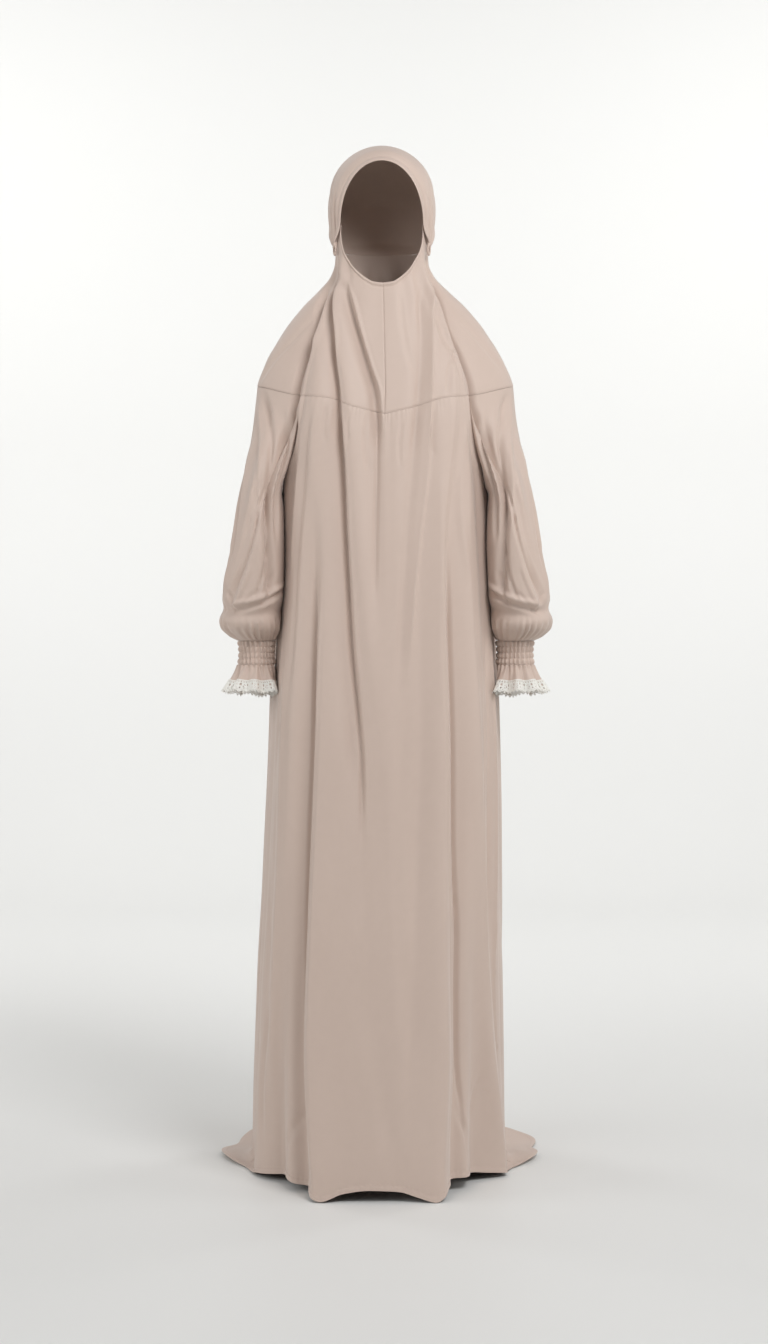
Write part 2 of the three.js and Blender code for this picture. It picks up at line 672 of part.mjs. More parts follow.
const SLEEVE_ROWS = [0, 0.05, 0.12, 0.21, 0.31, 0.42, 0.54, 0.66, 0.76, 0.84, 0.88, 0.92, 0.96, 1];
const SLEEVE_COLUMNS = SHOULDER_COLUMNS + 2 * ARMHOLE_ROWS;
const sleeveColumns = steps(0, 1, SLEEVE_COLUMNS).slice(0, SLEEVE_COLUMNS);

// The cuff: a band of shirred cloth drawn in by elastic, then a ruffle that opens out
const PUCKERS = 20;
const PUCKER_DEPTH = 1.3;
const BAND_WAIST = 2.2;
const RUFFLE_FLARE = 15;
const RUFFLE_WAVES = 9;
const RUFFLE_WAVE_DEPTH = 6;
const RUFFLE_DROOP = 9;

// The band's puckers stand out on its outer wall, over a plain inner one
function bandPoint(side, turned, down, out) {
  const point = sleeveRing(side, turned, CUFF_TOP);
  const pucker = out < 0 ? -PUCKER_DEPTH : PUCKER_DEPTH * Math.cos(PUCKERS * turned * DEGREE);
  const relief = out + pucker - BAND_WAIST * Math.sin(Math.PI * down);
  point.x += side * relief * Math.sin(turned * DEGREE);
  point.y -= relief * Math.cos(turned * DEGREE);
  point.z = CUFF_TOP - SEAM_GAP - BAND_LENGTH * down;
  return keepClear(point, BODY_CLEARANCE - out);
}

// down is 1 at the ruffle's own edge, and the lace goes on past it
function rufflePoint(side, turned, down, out) {
  const point = sleeveRing(side, turned, CUFF_TOP);
  const wave = Math.cos(RUFFLE_WAVES * turned * DEGREE + 0.8 * Math.sin(turned * DEGREE));
  const relief = RUFFLE_FLARE * down ** 1.2 + RUFFLE_WAVE_DEPTH * Math.min(down, 1.4) * wave + out;
  point.x += side * relief * Math.sin(turned * DEGREE);
  point.y -= relief * Math.cos(turned * DEGREE);
  const droop = RUFFLE_DROOP * down * (1 - Math.cos((turned - 20) * DEGREE)) * 0.5;
  point.z = CUFF_TOP - 2 * SEAM_GAP - BAND_LENGTH - RUFFLE_LENGTH * down - droop;
  return keepClear(point, BODY_CLEARANCE + LACE + LACE_LIFT - out);
}

const LACE_LIFT = 1.3;
const LACE_FROM = 0.72;
const LACE_TO = 1.32;
const SCALLOPS = 20;
const SCALLOP_DEPTH = 0.07;

function lacePoint(side, turned, share, out) {
  const scallop = SCALLOP_DEPTH * share * Math.cos(SCALLOPS * turned * DEGREE);
  return rufflePoint(side, turned, mix(LACE_FROM, LACE_TO, share) + scallop, out);
}

const ringTurns = steps(0, 360, BAND_COLUMNS).slice(0, BAND_COLUMNS);

// A tube of cloth whose plain inner wall lies a thickness inside its outer points
function addTube(name, rows, point, thickness, colour) {
  const outer = rows.map((row) => ringTurns.map((turned) => point(turned, row, 0)));
  const inner = rows.map((row) => ringTurns.map((turned) => point(turned, row, -thickness)));
  addPiece(name, wallGeometry(outer, inner, true), colour, 0.8);
}

for (const [hand, side] of [["left", 1], ["right", -1]]) {
  const spots = grid(SLEEVE_ROWS, sleeveColumns, (around, down) => sleeveSpot(side, around, down));
  addPanel("sleeve_" + hand, spots, ["top", "bottom"], true);
  addTube("cuff_band_" + hand, steps(0, 1, BAND_ROWS),
    (turned, down, out) => bandPoint(side, turned, down, out), CLOTH, CREPE);
  addTube("cuff_ruffle_" + hand, steps(0, 1, RUFFLE_ROWS),
    (turned, down, out) => rufflePoint(side, turned, down, out), CLOTH, CREPE);
  addTube("cuff_lace_" + hand, steps(0, 1, LACE_ROWS),
    (turned, share, out) => lacePoint(side, turned, share, LACE_LIFT + LACE + out), LACE, WHITE_LACE);
}

// The gathered ties at the hood's front corners, by the ears
const TIE_RADIUS = 4.6;
const TIE_THICK = 1.9;
const TIE_STRETCH = 1.7;
const TIE_NARROW = 0.75;
for (const [hand, side] of [["left", 1], ["right", -1]]) {
  const spot = hoodBase(side, 0, -CLOTH / 2 - 0.1);
  const geometry = new THREE.TorusGeometry(TIE_RADIUS, TIE_THICK, 8, 16);
  geometry.scale(TIE_NARROW, TIE_STRETCH, 1);
  geometry.rotateX(Math.PI / 2);
  geometry.rotateZ(side * TIE_ANGLE * DEGREE);
  const drop = (TIE_RADIUS + TIE_THICK) * TIE_STRETCH + SEAM_GAP;
  geometry.translate(spot.x, spot.y, NECK_HEIGHT - drop);
  addPiece("ear_tie_" + hand, geometry, CREPE, 0.8);
}

export default dress;
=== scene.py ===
# %% [markdown]
# # A prayer dress in Blender
# The dress is one long hooded garment of plain beige-pink crepe: a hood, a yoke over the
# shoulders, a body that reaches the floor, bishop sleeves and shirred cuffs edged with lace.
# The imported model gives its construction as thin rigid walls. Here every wall is made again as
# a fine shell on the same form, with the creases, stitches, gathers and finish of real cloth.
# This first cell loads the imported frame.

# %% Load the frame
import math

import bpy
import numpy as np
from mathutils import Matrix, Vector


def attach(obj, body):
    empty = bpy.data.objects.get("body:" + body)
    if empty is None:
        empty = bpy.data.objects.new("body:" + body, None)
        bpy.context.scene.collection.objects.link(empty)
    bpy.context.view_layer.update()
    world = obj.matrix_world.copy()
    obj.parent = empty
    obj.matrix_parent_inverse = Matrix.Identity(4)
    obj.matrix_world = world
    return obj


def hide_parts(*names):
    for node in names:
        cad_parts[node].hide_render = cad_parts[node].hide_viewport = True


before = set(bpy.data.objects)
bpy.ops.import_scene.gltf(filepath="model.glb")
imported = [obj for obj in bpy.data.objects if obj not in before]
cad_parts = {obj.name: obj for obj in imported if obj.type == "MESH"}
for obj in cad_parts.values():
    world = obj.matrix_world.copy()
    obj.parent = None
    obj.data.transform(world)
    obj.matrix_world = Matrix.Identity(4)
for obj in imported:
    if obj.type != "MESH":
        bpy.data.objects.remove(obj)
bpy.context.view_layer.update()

MM = 0.001
CROWN_HEIGHT = 1731.0
RIGID_WALL = 2.0
FLOOR_Z = (RIGID_WALL - CROWN_HEIGHT) * MM

# %% [markdown]
# ## Camera, light and floor
# The dress is seen from the front, from about chest height, 3.8 m away, with a lens that keeps
# the hood and the hem nearly the same scale. Large soft panels light it from the front, a
# little stronger from the right and above, so the folds read as gentle bands. The floor is one
# pale sheet that curves up into a backdrop, so that no line shows behind the dress. The sheet is
# clear from its rear, so the dress can also be looked at from behind.

# %% Camera
CAMERA_DISTANCE = 3.8
CAMERA_HEIGHT = 0.95
CAMERA_SIDE = 0.0017
FOCAL_PIXELS = 2235.0
IMAGE_LONG_SIDE = 1344.0
SENSOR = 36.0
PITCH_DOWN = math.radians(1.61)

scene = bpy.context.scene
camera_data = bpy.data.cameras.new("camera")
camera_data.sensor_fit = "AUTO"
camera_data.sensor_width = SENSOR
camera_data.lens = SENSOR * FOCAL_PIXELS / IMAGE_LONG_SIDE
camera = bpy.data.objects.new("camera", camera_data)
camera.location = (CAMERA_SIDE, -CAMERA_DISTANCE, FLOOR_Z + CAMERA_HEIGHT)
camera.rotation_euler = (math.pi / 2 - PITCH_DOWN, 0.0, 0.0)
scene.collection.objects.link(camera)
scene.camera = camera
print("lens", round(camera_data.lens, 1), "mm")

# %% Lights and world
def area_light(name, place, aim, size, power, colour):
    """A square soft panel at a place, turned to face a point."""
    data = bpy.data.lights.new(name, "AREA")
    data.shape = "SQUARE"
    data.size = size
    data.energy = power
    data.color = colour
    lamp = bpy.data.objects.new(name, data)
    lamp.location = place
    direction = Vector(aim) - Vector(place)
    lamp.rotation_euler = direction.to_track_quat("-Z", "Y").to_euler()
    scene.collection.objects.link(lamp)
    return lamp


HIPS = (0.0, 0.0, FLOOR_Z + 0.7)
CHEST = (0.0, 0.0, FLOOR_Z + 1.25)
WALL = (0.0, 4.8, FLOOR_Z + 1.6)
COOL, WARM, PLAIN = (0.985, 0.99, 1.0), (1.0, 0.985, 0.965), (1.0, 1.0, 1.0)
# name, place above the floor, the point it faces, size, power, colour
PANELS = [
    ("key_panel", (1.2, -2.1, 2.95), CHEST, 1.2, 60.0, COOL),
    ("fill_panel", (-2.0, -2.9, 2.4), CHEST, 2.2, 27.0, COOL),
    ("side_panel_left", (-2.9, -0.7, 1.5), HIPS, 1.8, 26.0, WARM),
    ("side_panel_right", (2.9, -0.6, 1.4), HIPS, 1.8, 22.0, WARM),
    ("wall_panel_left", (-2.4, 2.0, 3.0), WALL, 2.2, 76.0, PLAIN),
    ("wall_panel_right", (2.4, 2.0, 3.0), WALL, 2.2, 76.0, PLAIN),
]
for name, (x, y, z), aim, size, power, colour in PANELS:
    area_light(name, (x, y, FLOOR_Z + z), aim, size, power, colour)
print("light panels", len(PANELS))

world = bpy.data.worlds.new("studio")
world.use_nodes = True
sky = world.node_tree.nodes["Background"]
sky.inputs["Color"].default_value = (1.0, 1.0, 1.0, 1.0)
sky.inputs["Strength"].default_value = 0.2
scene.world = world
scene.view_settings.view_transform = "Standard"

# %% Floor that curves up into the backdrop
FLOOR_HALF_WIDTH = 7.0
FLOOR_FRONT = -5.0
BACKDROP_Y = 3.2
BACKDROP_BEND = 1.6
BACKDROP_TOP = 5.5
BEND_STEPS = 24
FLOOR_COLOUR = (0.74, 0.74, 0.725, 1.0)


def sweep_profile(count):
    """Points (y, z) of the sheet: flat floor, a quarter circle, then an upright wall."""
    bend = np.linspace(0.0, math.pi / 2, count)
    curve_y = BACKDROP_Y + BACKDROP_BEND * np.sin(bend)
    curve_z = FLOOR_Z + BACKDROP_BEND * (1.0 - np.cos(bend))
    y = np.concatenate([[FLOOR_FRONT], curve_y, [curve_y[-1]]])
    z = np.concatenate([[FLOOR_Z], curve_z, [FLOOR_Z + BACKDROP_TOP]])
    return y, z


profile_y, profile_z = sweep_profile(BEND_STEPS)
backdrop_points = [(side * FLOOR_HALF_WIDTH, y, z)
                   for y, z in zip(profile_y, profile_z) for side in (-1, 1)]
backdrop_faces = [(2 * k, 2 * k + 1, 2 * k + 3, 2 * k + 2) for k in range(len(profile_y) - 1)]
backdrop_mesh = bpy.data.meshes.new("floor")
backdrop_mesh.from_pydata(backdrop_points, [], backdrop_faces)
backdrop_mesh.shade_smooth()
backdrop = bpy.data.objects.new("floor", backdrop_mesh)
scene.collection.objects.link(backdrop)
floor_material = bpy.data.materials.new("pale_floor")
floor_material.use_nodes = True
floor_shader = floor_material.node_tree.nodes["Principled BSDF"]
floor_shader.inputs["Base Color"].default_value = FLOOR_COLOUR
floor_shader.inputs["Roughness"].default_value = 0.55
# Alpha is 1 on the side that faces the dress, and 0 on the sheet's rear
floor_side = floor_material.node_tree.nodes.new("ShaderNodeNewGeometry")
front_only = floor_material.node_tree.nodes.new("ShaderNodeMath")
front_only.operation = "SUBTRACT"
front_only.inputs[0].default_value = 1.0
floor_material.node_tree.links.new(floor_side.outputs["Backfacing"], front_only.inputs[1])
floor_material.node_tree.links.new(front_only.outputs["Value"], floor_shader.inputs["Alpha"])
backdrop_mesh.materials.append(floor_material)
print("floor strips", len(backdrop_faces))

# %% [markdown]
# ## The measures of the dress
# A pattern cutter describes a worn dress by a few level sections and by where its folds run.
# The same short tables that give the rigid walls are kept here, in millimetres above the
# floor, so that the fine cloth lies on the same form. A smooth curve runs through the rows.

# %% Smooth curves through a table
def smooth_curve(at, to):
    """A cubic through the points (at, to). Its slope at a point is the harmonic mean of the
    slopes on both sides, and level where they turn, so it never swings past its rows."""
    at = np.asarray(at, float)
    to = np.asarray(to, float)
    rise = np.diff(to) / np.diff(at)
    slope = np.zeros_like(to)
    slope[0], slope[-1] = rise[0], rise[-1]
    same = rise[:-1] * rise[1:] > 0
    both = np.where(same, rise[:-1] + rise[1:], 1.0)
    slope[1:-1] = np.where(same, 2 * rise[:-1] * rise[1:] / both, 0.0)

    def value(x):
        x = np.clip(x, at[0], at[-1])
        k = np.clip(np.searchsorted(at, x, side="right") - 1, 0, len(at) - 2)
        width = at[k + 1] - at[k]
        t = (x - at[k]) / width
        t2, t3 = t * t, t * t * t
        return ((2 * t3 - 3 * t2 + 1) * to[k] + (t3 - 2 * t2 + t) * width * slope[k]
                + (3 * t2 - 2 * t3) * to[k + 1] + (t3 - t2) * width * slope[k + 1])

    return value


def column_curves(rows):
    """One smooth curve for each column after the first, along the first column."""
    rows = np.asarray(rows, float)
    return [smooth_curve(rows[:, 0], rows[:, k]) for k in range(1, rows.shape[1])]


def ease(share):
    """A smooth step from 0 to 1."""
    t = np.clip(share, 0.0, 1.0)
    return t * t * (3 - 2 * t)


def mix(a, b, share):
    """The value that lies a share of the way from a to b."""
    return a + (b - a) * share


def turn(angle):
    """An angle in degrees brought between -180 and 180."""
    return angle - 360.0 * np.round(angle / 360.0)


print("a curve through 0, 1, 4 at 1.5:", round(float(smooth_curve((0, 1, 2), (0, 1, 4))(1.5)), 3))

# %% Level sections, folds, seams and hem
NECK_HEIGHT = 1562.0
UNDERARM_HEIGHT = 1170.0
ARMHOLE_ANGLE = 57.0
SIDE_ANGLE = 90.0
# height, half width, shoulder swell, depth to the front, to the back, squareness, middle
half_width_at, shoulder_at, front_at, back_at, square_at, middle_at = column_curves([
    (0, 215, 56, 252, 246, 2.2, -7),
    (110, 211, 56, 243, 238, 2.2, -8),
    (300, 206, 56, 226, 224, 2.2, -7),
    (484, 200, 56, 208, 206, 2.3, -2),
    (790, 190, 56, 182, 176, 2.5, 3),
    (950, 178, 56, 170, 162, 2.6, 3),
    (1100, 172, 56, 158, 148, 2.8, 2),
    (1200, 169, 56, 149, 138, 3.0, 2),
    (1269, 167, 56, 141, 130, 3.3, 3),
    (1317, 163, 56, 131, 125, 3.4, 4),
    (1368, 148, 54, 118, 120, 3.2, 3),
    (1419, 128, 43, 104, 114, 3.0, 2),
    (1460, 110, 28, 93, 108, 2.8, 1),
    (1487, 98, 12, 87, 103, 2.7, 0),
    (1510, 86, 2, 84, 98, 2.8, -1),
    (1530, 79, 0, 84, 94, 3.2, -2),
    (1556, 77, 0, 85, 92, 3.4, -2),
    (1600, 72, 0, 76, 90, 3.4, -2),
])
# Each fold: its angle at the neck, yoke seam, waist, knee, shin and hem; how far it stands out
# there (sinks in, below zero); and its half width in degrees towards lower and higher angles
FOLD_HEIGHTS = (1480, 1280, 1000, 560, 260, 40)
FOLDS = [
    (-62, -57, -64, -66, -66, -68, -9, -10, -4, 0, 0, 0, 8, 8),
    (60, 57, 64, 66, 66, 68, -9, -10, -4, 0, 0, 0, 8, 8),
    (-58, -41, -46, -52, -56, -57, 3, 5, 5, 6, 8, 9, 9, 7),
    (-54, -31, -22, -10, -2, 6, -9, -10, -9, -5, -3, -1.5, 6, 6),
    (-46, -23, -12, 4, 8, 11, 7, 7, 5, 3, 2, 1.5, 6, 10),
    (-38, -8, -5, -4, -3, -3, -4, -6, -3, 0, 0, 0, 6, 6),
    (-52, -44, -32, -30, -28, -23, 0, 0, 3, 9, 14, 18, 4.5, 11),
    (-58, -50, -39, -38, -36, -32, 0, 0, -5, -16, -25, -29, 9, 5),
    (-54, -54, -54, -54, -53, -53, 0, 0, 0, -6, -20, -36, 14, 16),
    (-80, -80, -74, -76, -80, -84, 0, 0, -3, -6, -8, -8, 9, 9),
    (-103, -103, -104, -101, -100, -103, 0, 0, 12, 8, 6, 7, 10, 10),
    (22, 26, 22, 17, 14, 9, -2, -2, -4, -5, -4, -2.5, 9, 9),
    (38, 21, 12, 8, 8, 8, -4, -4, -2, 0, 0, 0, 7, 7),
    (48, 28, 16, 12, 12, 12, 5, 3, 1, 0, 0, 0, 5, 5),
    (52, 41, 31, 27, 27, 23, 2, 5, 5, 8, 13, 17, 11, 4.5),
    (58, 48, 36, 36, 36, 33, 0, -2, -5, -13, -21, -27, 5, 9),
    (51, 51, 51, 51, 51, 51, 0, 0, 0, -6, -20, -36, 14, 16),
    (62, 52, 48, 52, 60, 70, 0, 2, 4, 8, 10, 10, 8, 4.5),
    (75, 66, 60, 62, 71, 83, 0, 0, -3, -7, -8, -6, 4.5, 8),
    (103, 103, 104, 98, 96, 99, 0, 0, 12, 8, 7, 6, 10, 10),
    (106, 106, 108, 104, 106, 110, 0, 0, -3, -8, -10, -11, 8, 8),
    (-117, -117, -115, -116, -118, -119, 0, 0, -4, -8, -10, -11, 8, 8),
    (123, 123, 121, 122, 123, 124, -7, -12, -4, 8, 12, 13, 9, 9),
    (-123, -123, -127, -132, -134, -136, -7, -12, -4, 8, 12, 13, 9, 9),
    (142, 140, 142, 141, 141, 142, -4, -6, -9, -15, -19, -20, 5, 9),
    (-150, -148, -149, -151, -153, -154, -4, -6, -9, -15, -19, -20, 9, 5),
    (160, 161, 160, 159, 159, 160, 4, 5, 6, 10, 13, 14, 9, 5),
    (-166, -165, -167, -170, -171, -172, 4, 5, 6, 10, 13, 14, 5, 9),
    (178, 180, 180, 177, 176, 176, -4, -6, -6, -8, -9, -10, 7, 7),
]


def fold_curve(row):
    """One fold's angle and depth as smooth curves of height, and its two half widths."""
    heights = FOLD_HEIGHTS[::-1]
    return smooth_curve(heights, row[5::-1]), smooth_curve(heights, row[11:5:-1]), row[12], row[13]


fold_curves = [fold_curve(row) for row in FOLDS]
FOLD_FADE = 70.0
yoke_seam_at = smooth_curve((0, 20, 38, 57, 90, 123, 180),
                            (1269, 1281, 1297, 1303, 1326, 1312, 1306))
yoke_top_at = smooth_curve(
    (0, 10, 18.5, 25, 30, 36, 41, 44.5, 48, 52, 55, 58, 62, 180),
    (1490, 1492, 1499, 1507, 1515, 1528, 1542, 1555, 1567, 1581, 1591, 1588, NECK_HEIGHT, NECK_HEIGHT))
# angle, lift of the edge above the floor, run of the cloth along the floor
hem_lift_at, hem_run_at = column_curves([
    (-180, 3, 50), (-150, 3, 62), (-128, 3, 74), (-112, 3, 66), (-97, 3, 46), (-84, 3, 20),
    (-74, 5, 4), (-66, 8, 0), (-54, 14, 0), (-44, 18, 0), (-36, 12, 0), (-28, 10, 0),
    (-24, 6, 0), (-20.5, 2, 0), (-13, 14, 0), (-3, 20, 0), (8, 17, 0), (14, 9, 0),
    (20.5, 1, 0), (24, 9, 0), (28, 18, 0), (35, 22, 0), (44, 21, 0), (54, 16, 0), (64, 10, 0),
    (74, 5, 2), (86, 3, 26), (98, 3, 52), (110, 3, 74), (122, 3, 88), (134, 3, 94),
    (148, 3, 82), (165, 3, 60), (180, 3, 50),
])
TURN_SHARE = 0.35
POOL_WAVE = 7.0
POOL_WAVES = 9.0
POOL_RISE = 40.0
GATHER_DEPTH = 0.7
GATHER_SPACING = 8.0
GATHER_REACH = 110.0
GATHER_START = 25.0
print("folds", len(FOLDS), "of the drape")

# %% [markdown]
# ## The form of the body and yoke
# A worn skirt is a tube whose level section is a rounded square, wider from side to side, with
# long folds running down it. One function of angle and height gives that surface, as whole
# arrays. Near the floor the cloth turns outwards along a quarter circle and then lies flat,
# so the same function also makes the pools at the sides and back.

# %% Body and yoke surfaces
def fold_relief(angle, height):
    """The sum over the folds of depth times a bell of the angle's distance to the fold, with
    its own width on each side. All folds run out towards the neck."""
    fade = ease((NECK_HEIGHT - height) / FOLD_FADE)
    relief = np.zeros(np.broadcast(angle, height).shape)
    for angle_at, depth_at, low, high in fold_curves:
        gap = turn(angle - angle_at(height))
        off = gap / np.where(gap < 0, low, high)
        relief = relief + fade * depth_at(height) * np.exp(-2 * off * off)
    return relief


def gather_relief(angle, height):
    """Small waves round the body that fade in just below the yoke seam and die away."""
    below = yoke_seam_at(np.abs(angle)) - height
    die_away = np.exp(-np.maximum(below, 0) / GATHER_REACH)
    fade = np.where(below > 0, die_away * ease(below / GATHER_START), 0)
    uneven = 0.55 + 0.45 * np.sin(angle * 0.17 + 2)
    wave = np.cos(2 * np.pi * angle / GATHER_SPACING + np.sin(angle * 0.11))
    return GATHER_DEPTH * fade * uneven * wave


def section_radius(angle, height):
    """Radius of the rounded square: (|sin|/half width)^n + (|cos|/depth)^n to the -1/n."""
    s, c = np.abs(np.sin(np.radians(angle))), np.cos(np.radians(angle))
    depth = np.where(c > 0, front_at(height), back_at(height))
    n = square_at(height)
    return ((s / half_width_at(height)) ** n + (np.abs(c) / depth) ** n) ** (-1 / n)


def round_body(angle, height, radius):
    """A point at an angle from the front, at a distance from the dress's middle line."""
    x = middle_at(height) + radius * np.sin(np.radians(angle))
    y = -radius * np.cos(np.radians(angle))
    return np.stack(np.broadcast_arrays(x, y, height), axis=-1)


def hem_fall(angle):
    """The height that the hem would have if the floor let the cloth hang on."""
    a = turn(angle)
    run = hem_run_at(a)
    return hem_lift_at(a) + (2 - np.pi / 2) * TURN_SHARE * run - run


def body_point(angle, fall, crease=None):
    """The body's surface. fall is the height without the floor; past it the cloth turns on a
    quarter circle and runs out level. crease(angle, fall) adds finer relief."""
    a = turn(angle)
    lift = hem_lift_at(a)
    bend = np.maximum(TURN_SHARE * hem_run_at(a), 0.5)
    past = np.maximum(lift + bend - fall, 0.0)
    bow = np.minimum(past / bend, np.pi / 2)
    run = bend * (1 - np.cos(bow)) + np.maximum(0.0, past - bend * np.pi / 2)
    height = np.where(past > 0, lift + bend * (1 - np.sin(bow)), fall)
    swell = 0.5 - 0.5 * np.cos(np.radians(POOL_WAVES * a))
    height = height + POOL_WAVE * ease(run / POOL_RISE) * swell
    radius = section_radius(a, fall) + fold_relief(a, fall) + gather_relief(a, fall) + run
    if crease is not None:
        radius = radius + crease(a, fall)
    point = round_body(a, np.clip(fall, 0.0, CROWN_HEIGHT), radius)
    point[..., 2] = height
    return point


def yoke_point(angle, height, crease=None):
    """The yoke follows the body's sections and swells out over each shoulder."""
    a = turn(angle)
    into = np.clip((np.abs(a) - ARMHOLE_ANGLE) / (180 - 2 * ARMHOLE_ANGLE), 0, 1)
    swell = np.sin(np.pi * into) ** 2
    radius = section_radius(a, height) + fold_relief(a, height) + swell * shoulder_at(height)
    if crease is not None:
        radius = radius + crease(a, height)
    return round_body(a, height, radius)


for height in (0.0, 790.0, 1317.0):
    print("at", height, "mm: half width", round(float(half_width_at(height))),
          "front", round(float(front_at(height))), "back", round(float(back_at(height))))

# %% [markdown]
# ## From a grid of points to a piece of cloth
# A piece of cloth is a sheet with two faces and a thin edge. The grid gives the outer face.
# The inner face is the same grid moved in along the surface's own normal, which comes from the
# cross product of its two directions. The piece also gets a UV map in metres of cloth, so a
# weave keeps its real size everywhere.

# %% Cloth shells
SHARP_ANGLE = 55.0


def grid_normals(points, closed):
    """Unit normals of a grid: the cross product of its differences down and along it."""
    if closed:
        wide = np.concatenate([points[:, -1:], points, points[:, :1]], axis=1)
        along = (wide[:, 2:] - wide[:, :-2]) / 2
    else:
        along = np.gradient(points, axis=1)
    down = np.gradient(points, axis=0)
    normal = np.cross(down, along)
    length = np.linalg.norm(normal, axis=-1, keepdims=True)
    return normal / np.maximum(length, 1e-9)


def outward(points, normals, middle):
    """Turns all normals so that most point away from a middle point or line of points."""
    away = ((points - middle) * normals).sum(-1).mean()
    return normals if away > 0 else -normals


def cloth_lengths(points, closed):
    """Distances along the cloth from the first column and the first row, in metres."""
    nxt = np.roll(points, -1, axis=1) if closed else points[:, 1:]
    along = np.linalg.norm(nxt - (points if closed else points[:, :-1]), axis=-1)
    along = np.concatenate([np.zeros((len(points), 1)), np.cumsum(along, axis=1)], axis=1)
    down = np.linalg.norm(np.diff(points, axis=0), axis=-1)
    down = np.concatenate([np.zeros((1, points.shape[1])), np.cumsum(down, axis=0)], axis=0)
    if closed:
        down = np.concatenate([down, down[:, :1]], axis=1)
    return along * MM, down * MM


def link_mesh(name, vertices, faces, corner_uv, material):
    """Makes an object of vertices in millimetres above the floor, with one UV pair a corner."""
    metres = np.array(vertices, float) * MM
    metres[:, 2] += FLOOR_Z
    mesh = bpy.data.meshes.new(name)
    mesh.from_pydata(metres, [], faces)
    if corner_uv is not None:
        layer = mesh.uv_layers.new(name="cloth")
        layer.data.foreach_set("uv", np.ascontiguousarray(corner_uv, np.float32).ravel())
    mesh.shade_smooth()
    mesh.set_sharp_from_angle(angle=math.radians(SHARP_ANGLE))
    mesh.materials.append(material)
    obj = bpy.data.objects.new(name, mesh)
    scene.collection.objects.link(obj)
    return obj


print("edges sharper than", SHARP_ANGLE, "degrees stay crisp")

# %% Faces of a shell
def shell_faces(rows, columns, closed, keep=None):
    """Quads of a two-sided grid and its edges, as vertex numbers and as UV grid places.
    keep marks the cells that there are; a cell next to a missing one gets an edge wall."""
    cells = columns if closed else columns - 1
    i, j = np.meshgrid(np.arange(rows - 1), np.arange(cells), indexing="ij")
    keep = np.ones(i.shape, bool) if keep is None else keep
    inside = rows * columns
    empty_row, empty_column = np.zeros((1, cells), bool), np.zeros((rows - 1, 1), bool)
    above = np.concatenate([empty_row, keep[:-1]])
    below = np.concatenate([keep[1:], empty_row])
    if closed:
        before, after = np.roll(keep, 1, axis=1), np.roll(keep, -1, axis=1)
    else:
        before = np.concatenate([empty_column, keep[:, :-1]], axis=1)
        after = np.concatenate([keep[:, 1:], empty_column], axis=1)
    out, inn = np.zeros_like(i), np.ones_like(i)
    here, beside, under, across = (i, j), (i, j + 1), (i + 1, j), (i + 1, j + 1)
    # the outer face, the inner face, then the walls above, below, before and after each cell
    walls = [
        (keep, (out, here), (out, under), (out, across), (out, beside)),
        (keep, (inn, beside), (inn, across), (inn, under), (inn, here)),
        (keep & ~above, (out, here), (out, beside), (inn, beside), (inn, here)),
        (keep & ~below, (out, under), (inn, under), (inn, across), (out, across)),
        (keep & ~before, (out, here), (inn, here), (inn, under), (out, under)),
        (keep & ~after, (out, beside), (out, across), (inn, across), (inn, beside)),
    ]
    places = np.concatenate([
        np.stack([np.stack((side, *place), -1) for side, place in corners], axis=-2)[mask]
        for mask, *corners in walls])
    numbers = places[..., 0] * inside + places[..., 1] * columns + places[..., 2] % columns
    return numbers, places


def cloth_shell(name, points, thickness, material, closed=False, keep=None, middle=(0, 0, 0)):
    """A closed thin shell: the grid as its outer face, and the same grid a thickness in."""
    rows, columns = points.shape[:2]
    centre = np.concatenate([np.broadcast_to(middle, points.shape)[..., :2], points[..., 2:]], -1)
    normals = grid_normals(points, closed)
    turned = outward(points, normals, centre)
    flipped = (turned * normals).sum() < 0
    inner = points - turned * thickness
    numbers, places = shell_faces(rows, columns, closed, keep)
    if flipped:
        numbers, places = numbers[:, ::-1], places[:, ::-1]
    along, down = cloth_lengths(points, closed)
    uv = np.stack([along[places[..., 1], places[..., 2]], down[places[..., 1], places[..., 2]]], -1)
    vertices = np.concatenate([points.reshape(-1, 3), inner.reshape(-1, 3)])
    if keep is not None:
        used = np.unique(numbers)
        lookup = np.zeros(len(vertices), int)
        lookup[used] = np.arange(len(used))
        vertices, numbers = vertices[used], lookup[numbers]
    obj = link_mesh(name, vertices, numbers, uv, material)
    areas = np.zeros(len(numbers))
    obj.data.polygons.foreach_get("area", areas)
    print(name, "faces", len(numbers), "cloth", round(areas.sum() / 2, 4), "m2")
    return obj


print("faces of a shell over 3 by 3 points:", len(shell_faces(3, 3, False)[0]))

# %% [markdown]
# ## The crepe
# Crepe is woven from tightly twisted yarn, so its surface is a fine pebble rather than a clear
# weave, soft to look at, with a low satin glow where it turns away from the eye. It is made
# with a pale base colour that drifts slightly over the cloth, a fine pebble bump at its real
# scale of under a millimetre, and the shader's own sheen. The pebble reads the piece's UV map
# in metres, so it follows the cloth. It is a node group, because thread and lace use it too.

# %% Shader node groups
def node_group(name, inputs, outputs):
    """An empty shader group with float, colour or vector sockets."""
    group = bpy.data.node_groups.new(name, "ShaderNodeTree")
    kinds = {"f": "NodeSocketFloat", "c": "NodeSocketColor", "v": "NodeSocketVector"}
    for socket, kind, value in inputs:
        made = group.interface.new_socket(socket, in_out="INPUT", socket_type=kinds[kind])
        if value is not None:
            made.default_value = value
    for socket, kind in outputs:
        group.interface.new_socket(socket, in_out="OUTPUT", socket_type=kinds[kind])
    return group, group.nodes.new("NodeGroupInput"), group.nodes.new("NodeGroupOutput")


